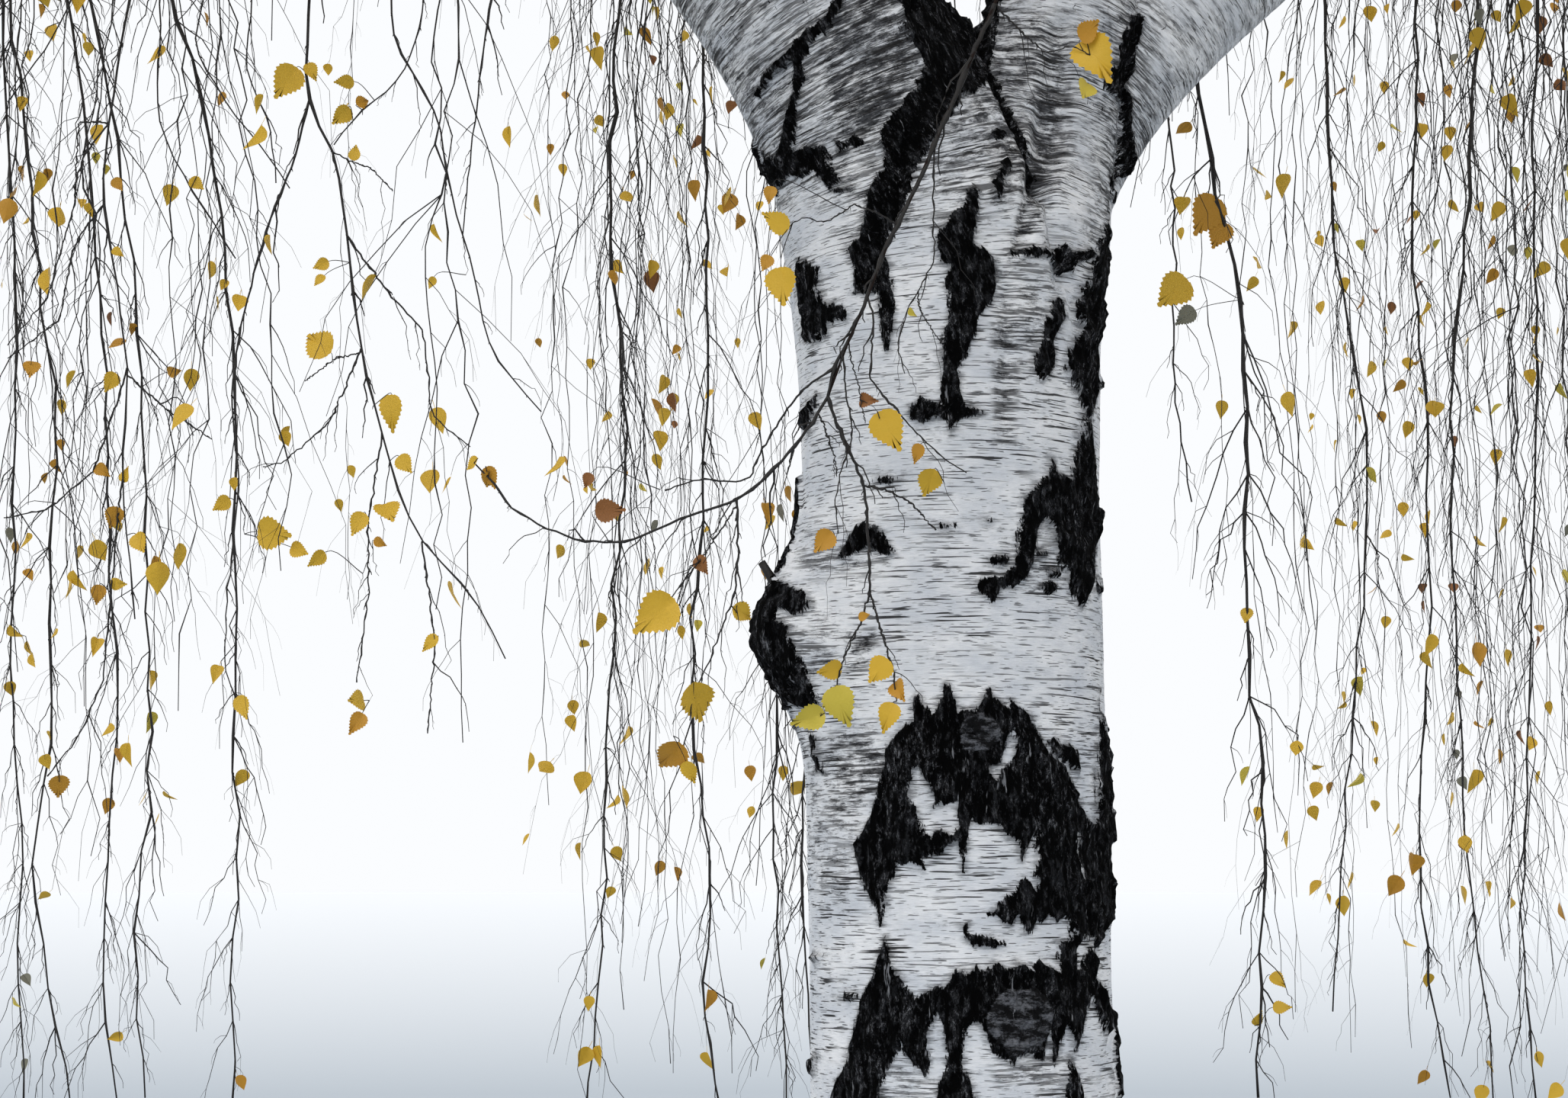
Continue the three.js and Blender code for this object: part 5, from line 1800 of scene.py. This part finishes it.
near_levels = [
    (near_lines, near_girths),
    spurs(near_lines, near_girths, 26, 30, (4, 14), 2, (35, 70)),
    spurs(near_lines[front], near_girths[front], 16, 62, (40, 190), 7, (22, 45)),
]
near_levels.append(spurs(*near_levels[2], 4, 25, (3, 9), 2, (35, 65)))
back_twigs = spurs(near_lines[back], near_girths[back], 80, 50, (80, 430), 7, (18, 52))
back_sprigs = spurs(*back_twigs, 4, 60, (40, 170), 3, (25, 60))
near_levels += [back_twigs, back_sprigs]
parts = [tubes(lines, girths, sides) for (lines, girths), sides in zip(near_levels, (5, 4, 5, 4, 3, 3))]
stub = seen_line([(1030, 790), (1016, 764), (1007, 750), (999, 737)], -20)
parts.append(tubes(stub[None], np.array([[10, 8, 6.5, 6.0]]), 9))
print("near twigs by kind:", [len(lines) for lines, _ in near_levels])

# %% [markdown]
# ## Leaves
# The last leaves are rhombic, toothed, and hang from thin stalks, folded on the midrib and a little curled.
# A leaf image on a card would be lighter, but it is flat and needs a cut-out image. Here a leaf is an
# outline with a centre point. Each gets its own fold, curl and twist, and all of one tint are joined.

# %% One leaf's outline
HALF_LEAF = [
    (0, 0), (0.13, 0.01), (0.27, 0.07), (0.37, 0.19), (0.40, 0.33), (0.35, 0.48), (0.25, 0.64), (0.13, 0.80),
    (0.045, 0.92), (0, 1),
]
PLAIN_HALF = [(0, 0), (0.30, 0.08), (0.40, 0.34), (0.17, 0.74), (0, 1)]
STALK = 0.32


def toothed(half, teeth):
    """The half outline with teeth that point forward."""
    line = even_steps(np.array(half), 2 * teeth)
    line[1:-1:2] += [0.034, 0.020]
    line[2:-1:2] -= [0.016, 0.004]
    return line


def leaf_shape(half, stalk):
    """Corners (across, along) and triangles of one leaf of unit length."""
    half = np.array(half)
    ring = np.concatenate([half, half[-2:0:-1] * [-1, 1]])
    count = len(ring)
    corners = np.concatenate([[(0, 0.4)], ring])
    faces = [(0, 1 + k, 1 + (k + 1) % count) for k in range(count)]
    if stalk:
        strip = [(-0.012, -STALK), (0.012, -STALK), (0.012, 0.01), (-0.012, 0.01)]
        corners = np.concatenate([corners, strip])
        faces += [(count + 1, count + 2, count + 3), (count + 1, count + 3, count + 4)]
        corners = corners + [0, STALK]
    return corners, np.array(faces)


def leaves(shape, roots, axes, faces_to, sizes, rng, folds=(0.1, 0.75)):
    """Leaves at roots, along axes, turned to faces_to."""
    corners, faces = shape
    many = len(roots)
    out = unit(faces_to - axes * np.sum(faces_to * axes, -1, keepdims=True))
    side = np.cross(axes, out)
    x, y = corners[:, 0], corners[:, 1]
    ranges = (folds, (-0.35, 0.3), (-0.5, 0.5))
    fold, curl, twist = (rng.uniform(low, high, (many, 1)) for low, high in ranges)
    lift = fold * np.abs(x) + curl * y * y + twist * x * y
    squeeze = 1 - 0.25 * rng.random((many, 1)) ** 2
    local = np.stack([x * squeeze, np.broadcast_to(y, lift.shape), lift], -1) * sizes[:, None, None]
    frame = np.stack([side, axes, out], 1)
    points = roots[:, None] + np.einsum("nkc,ncd->nkd", local, frame)
    faces = faces[None] + (np.arange(many) * len(corners))[:, None, None]
    return points.reshape(-1, 3), faces.reshape(-1, 3)


SHAPES = {
    "far": leaf_shape(PLAIN_HALF, True),
    "middle": leaf_shape(HALF_LEAF, True),
    "near": leaf_shape(toothed(HALF_LEAF, 11), False),
}
print("faces of a leaf:", {name: len(shape[1]) for name, shape in SHAPES.items()})

# %% The leaves near to the viewpoint
# Place in the picture, size there and tint, by depth
FRONT_LEAVES = [
    (1166, 565, 50, "gold"), (1137, 525, 22, "rust"), (1203, 595, 24, "amber"), (1220, 630, 36, "gold"),
    (1080, 710, 30, "amber"), (1134, 808, 16, "amber"), (1087, 878, 32, "gold"), (1103, 925, 46, "lime"),
    (1060, 942, 40, "lime"), (1152, 880, 36, "gold"), (1178, 905, 28, "amber"), (1165, 940, 34, "gold"),
    (1195, 410, 13, "lime"), (1018, 290, 40, "gold"), (1010, 255, 20, "amber"), (1005, 345, 20, "amber"),
    (1027, 375, 44, "gold"), (1437, 75, 58, "gold"), (1422, 120, 40, "lime"), (1430, 40, 32, "amber"),
    (859, 807, 58, "gold"), (913, 915, 54, "gold"), (879, 993, 44, "amber"), (905, 1013, 28, "gold"),
    (975, 804, 30, "gold"), (921, 741, 24, "rust"), (645, 625, 26, "amber"), (771, 630, 18, "rust"),
    (800, 669, 34, "rust"), (622, 609, 20, "gold"), (640, 628, 20, "amber"),
]
LEFT_LEAVES = [
    (365, 105, 42, "gold"), (397, 92, 22, "gold"), (440, 103, 22, "gold"), (435, 147, 26, "gold"),
    (463, 130, 20, "amber"), (453, 195, 18, "gold"), (250, 235, 18, "gold"), (150, 235, 16, "amber"),
    (150, 322, 14, "gold"), (40, 470, 24, "amber"), (140, 487, 24, "gold"), (410, 337, 18, "gold"),
    (408, 358, 16, "gold"), (405, 437, 42, "gold"), (223, 473, 18, "amber"), (498, 525, 40, "gold"),
    (517, 592, 24, "gold"), (352, 680, 44, "gold"), (457, 668, 28, "gold"), (495, 655, 36, "gold"),
    (383, 702, 24, "gold"), (403, 712, 24, "gold"), (485, 692, 16, "amber"), (130, 600, 18, "amber"),
    (160, 605, 18, "gold"), (145, 660, 26, "amber"), (180, 693, 26, "gold"), (282, 642, 22, "gold"),
    (125, 758, 22, "amber"), (150, 745, 18, "gold"), (310, 902, 28, "gold"), (455, 893, 30, "gold"),
    (455, 922, 26, "amber"), (548, 820, 24, "gold"), (75, 1003, 28, "amber"), (550, 360, 14, "gold"),
]
RIGHT_LEAVES = [
    (1537, 275, 50, "amber"), (1555, 300, 34, "amber"), (1495, 373, 48, "gold"), (1512, 403, 26, "grey"),
    (1590, 785, 18, "gold"), (1605, 1300, 18, "gold"), (1630, 1250, 20, "gold"), (1635, 1285, 20, "gold"),
]


# Length of a blade for its size in the tables, and how far a twig below a leaf counts as being off
BLADE, BELOW = 1.22, 500


def named_leaves(rows, depth, scale, rng):
    """Leaves at places in the picture, with stalks from the nearest twig."""
    twigs = np.concatenate([lines.reshape(-1, 3) for lines, _ in near_levels[:1] + near_levels[2:3]])
    made = {}
    for px, py, size, tint in rows:
        middle = seen(px * scale, py * scale, depth)
        size = BLADE * size * scale * (depth - EYE[1]) / FOCAL
        gap = np.linalg.norm(twigs - middle, axis=1)
        gap[twigs[:, 2] < middle[2] - size] += BELOW
        node = twigs[np.argmin(gap)]
        axis = unit(unit(middle - node) * 0.8 + DOWN * 0.7 + rng.normal(size=3) * 0.35 * [1, 0.5, 1])
        root = middle - axis * size * 0.48
        sag = arch(node, unit(root - node + UP * 3), root, axis, 0.3, 6)
        stalks.append(sag)
        to_eye = unit(EYE - middle) + rng.normal(size=3) * min(0.42, 9 / size)
        shape = SHAPES["near"]
        made.setdefault(tint, []).append(
            leaves(shape, root[None], axis[None], to_eye[None], np.array([size]), rng, (0.05, 0.45))
        )
    return made


stalks = []
rng = np.random.default_rng(33)
by_tint = {}
for rows, depth, scale in (
    (FRONT_LEAVES, FRONT_DEPTH, 1.0), (LEFT_LEAVES, LEFT_DEPTH, SHOWN_SIZE), (RIGHT_LEAVES, 340, SHOWN_SIZE)
):
    for tint, made in named_leaves(rows, depth, scale, rng).items():
        by_tint.setdefault(tint, []).extend(made)
parts.append(tubes(np.array(stalks), np.linspace(0.75, 0.5, 7)[None], 4))
piece("twigs_near", *gathered(parts), twig, "bough_bark", ["curtain_low_front"])

# %% Leaves of the whole tree, dealt out by string
TINTS = [("gold", 0.62), ("amber", 0.17), ("rust", 0.06), ("lime", 0.09), ("grey", 0.06)]
FAR_LEAVES, SHOWN_LEAVES, BACK_LEAVES = 13000, 360, 150
BOX_MARGIN, PICTURE_MARGIN, EYE_ROOM = 25, 120, 500


def strewn(levels, count, sizes, shape, first, seed, pictured_only=False):
    """Leaves on the twigs of strings, each string in its own tint."""
    rng = np.random.default_rng(seed)
    nodes, ways, owner = [], [], []
    for lines, _, string in levels[1:]:
        for ring in range(2, lines.shape[1]):
            nodes.append(lines[:, ring])
            ways.append(lines[:, ring] - lines[:, ring - 1])
            owner.append(string)
    nodes, ways, owner = np.concatenate(nodes), unit(np.concatenate(ways)), np.concatenate(owner)
    _, depth = picture_place(nodes)
    spread = PICTURE_MARGIN + sizes[1] * FOCAL / np.maximum(depth, 1)
    in_front = in_frame(nodes, spread) & (nodes[:, 1] < FRONT_ROOM)
    in_front |= np.linalg.norm(nodes - EYE, axis=1) < EYE_ROOM
    free = ((nodes > BOX_LOW + BOX_MARGIN) & (nodes < BOX_HIGH - BOX_MARGIN)).all(axis=1) & ~in_front
    free &= in_frame(nodes, 90) == pictured_only
    pick = rng.choice(np.flatnonzero(free), count, replace=False)
    nodes, ways, owner = nodes[pick], ways[pick], owner[pick]
    axes = unit(ways * 0.5 + DOWN * 0.9 + rng.normal(size=ways.shape) * 0.45)
    facing_ways = rng.normal(size=ways.shape) + compass(260) * 0.6
    size = rng.uniform(*sizes, count)
    dealt = np.array([chance(int(k) + first, 21) for k in range(owner.max() + 1)])[owner]
    limits = np.cumsum([share for _, share in TINTS])
    tint_of = np.minimum(np.searchsorted(limits, dealt), len(TINTS) - 1)
    for k, (tint, _) in enumerate(TINTS):
        mine = tint_of == k
        if mine.any():
            by_tint.setdefault(tint, []).append(
                leaves(shape, nodes[mine], axes[mine], facing_ways[mine], size[mine], rng)
            )


strewn(coarse, FAR_LEAVES, (62, 92), SHAPES["far"], 0, 5)
strewn(fine, FAR_LEAVES // 12, (50, 75), SHAPES["far"], 5000, 6)
strewn(fine, SHOWN_LEAVES, (24, 44), SHAPES["middle"], 5000, 7, pictured_only=True)
back_levels = [(*level, np.arange(len(level[0])) // 6) for level in (back_twigs, back_twigs, back_sprigs)]
strewn(back_levels, BACK_LEAVES, (24, 42), SHAPES["middle"], 9000, 8, pictured_only=True)
print("leaves:", {tint: sum(len(faces) for _, faces in made) for tint, made in by_tint.items()}, "triangles")

# %% Their finishes and pieces, one for each tint
LEAF_COLOURS = {
    "gold": (0.72, 0.44, 0.025), "amber": (0.56, 0.27, 0.015), "rust": (0.27, 0.10, 0.018),
    "lime": (0.62, 0.49, 0.05), "grey": (0.22, 0.215, 0.16),
}
CURTAIN_NODES = ["curtain_" + plan.label for plan in curtains]
for tint, made in by_tint.items():
    leaf = Finish("leaf_" + tint, 0.5)
    leaf.shader.inputs["Base Color"].default_value = (*LEAF_COLOURS[tint], 1)
    spot = leaf.node("ShaderNodeTexCoord", output="Object")
    veins = leaf.noise(spot, (330, 330, 330), 3.0, 0.6)
    leaf.feed(leaf.shader.inputs["Roughness"], 0.38 + veins * 0.3)
    leaf.bump(veins, 0.0009, 0.8)
    piece("leaves_" + tint, *gathered(made), leaf, "foliage", CURTAIN_NODES)

# %% [markdown]
# ## The floor
# The tree stands on open, level ground. A plane of one colour would do, but it would end in a hard line
# where it meets the white behind. Here rings of faces reach far out, and the colour is mixed by one length
# over another, which gives an even fade from pale grey to white up the picture. The floor lies 4 mm
# under the trunk's cut, so that the two don't share a plane.

# %% The pale floor
FLOOR_RINGS, FLOOR_SIDES, FLOOR_DROP = [3, 8, 14, 20, 30, 50, 90, 160, 320, 800], 64, 0.004
FADE_FROM = 17.0
turn = 2 * np.pi * np.arange(FLOOR_SIDES) / FLOOR_SIDES
corners = [(0.0, 0.0, -FLOOR_DROP)]
for radius in FLOOR_RINGS:
    corners += [(radius * math.cos(a), radius * math.sin(a), -FLOOR_DROP) for a in turn]
faces = [(0, 1 + k, 1 + (k + 1) % FLOOR_SIDES) for k in range(FLOOR_SIDES)]
for ring in range(len(FLOOR_RINGS) - 1):
    near, far = 1 + ring * FLOOR_SIDES, 1 + (ring + 1) * FLOOR_SIDES
    for k in range(FLOOR_SIDES):
        after = (k + 1) % FLOOR_SIDES
        faces.append((near + k, far + k, far + after, near + after))
mesh = bpy.data.meshes.new("floor")
mesh.from_pydata(corners, [], faces)
floor = placed("floor", mesh)
ground = Finish("pale_floor", 0.9)
spot = ground.node("ShaderNodeTexCoord", output="Object")
away = ground.node("ShaderNodeVectorMath", {"operation": "LENGTH"}, {0: spot}, output="Value")
nearness = away.math("DIVIDE", FADE_FROM, away)
pale = ground.mixed(nearness, (0.83, 0.845, 0.862), (0.42, 0.465, 0.51))
ground.feed(ground.shader.inputs["Base Color"], pale)
mesh.materials.append(ground.material)
floor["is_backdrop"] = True
print("floor:", len(faces), "faces, out to", FLOOR_RINGS[-1], "m")

# %% [markdown]
# ## Soft light
# The picture's light comes from all sides, a little stronger from one. Area lamps near the trunk would
# light only that. Here a white world gives the even light, and a weak and very wide sun lamp gives the
# bark's relief its soft shade, from any side and at any size.

# %% Light
scene = bpy.context.scene
world = bpy.data.worlds.new("soft_white")
scene.world = world
world.use_nodes = True
world.node_tree.nodes["Background"].inputs["Color"].default_value = (0.965, 0.98, 1.0, 1)
world.node_tree.nodes["Background"].inputs["Strength"].default_value = 1.0
scene.view_settings.view_transform = "Standard"
lamp = bpy.data.lights.new("soft_sun", "SUN")
lamp.energy, lamp.angle = 0.95, math.radians(50)
placed("soft_sun", lamp).rotation_euler = (math.radians(48), 0, math.radians(-28))
print("sun lamp:", round(lamp.energy, 2), "and", round(math.degrees(lamp.angle)), "degrees wide")

# %% [markdown]
# ## Camera
# The picture is taken at eye height, about four metres off, and looks slightly upward. Blender can work out
# such a place by trial, with the view open beside the picture. Here it is the one that the outlines on the
# bark were laid out from, so the two agree. The lens keeps everything sharp, near and far, because the same
# lens is used from every other side.

# %% Camera
camera = bpy.data.cameras.new("camera")
SENSOR = 36
camera.sensor_width, camera.lens = SENSOR, FOCAL / PICTURE[0] * SENSOR
camera.clip_start, camera.clip_end = 0.05, 1500
eye = placed("camera", camera)
eye.location = EYE * MM
eye.rotation_euler = (math.pi / 2 + PITCH, 0, 0)
scene.camera = eye
print("lens:", round(camera.lens, 1), "mm")

# %% [markdown]
# ## The finished size
# The dressed tree must be as large as the imported one. The same call that measured the imported model now
# measures what was made over it, and prints its box.

# %% The box of the dressed tree
made_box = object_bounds()
print("box of the dressed tree:", [[round(x, 3) for x in c] for c in made_box])
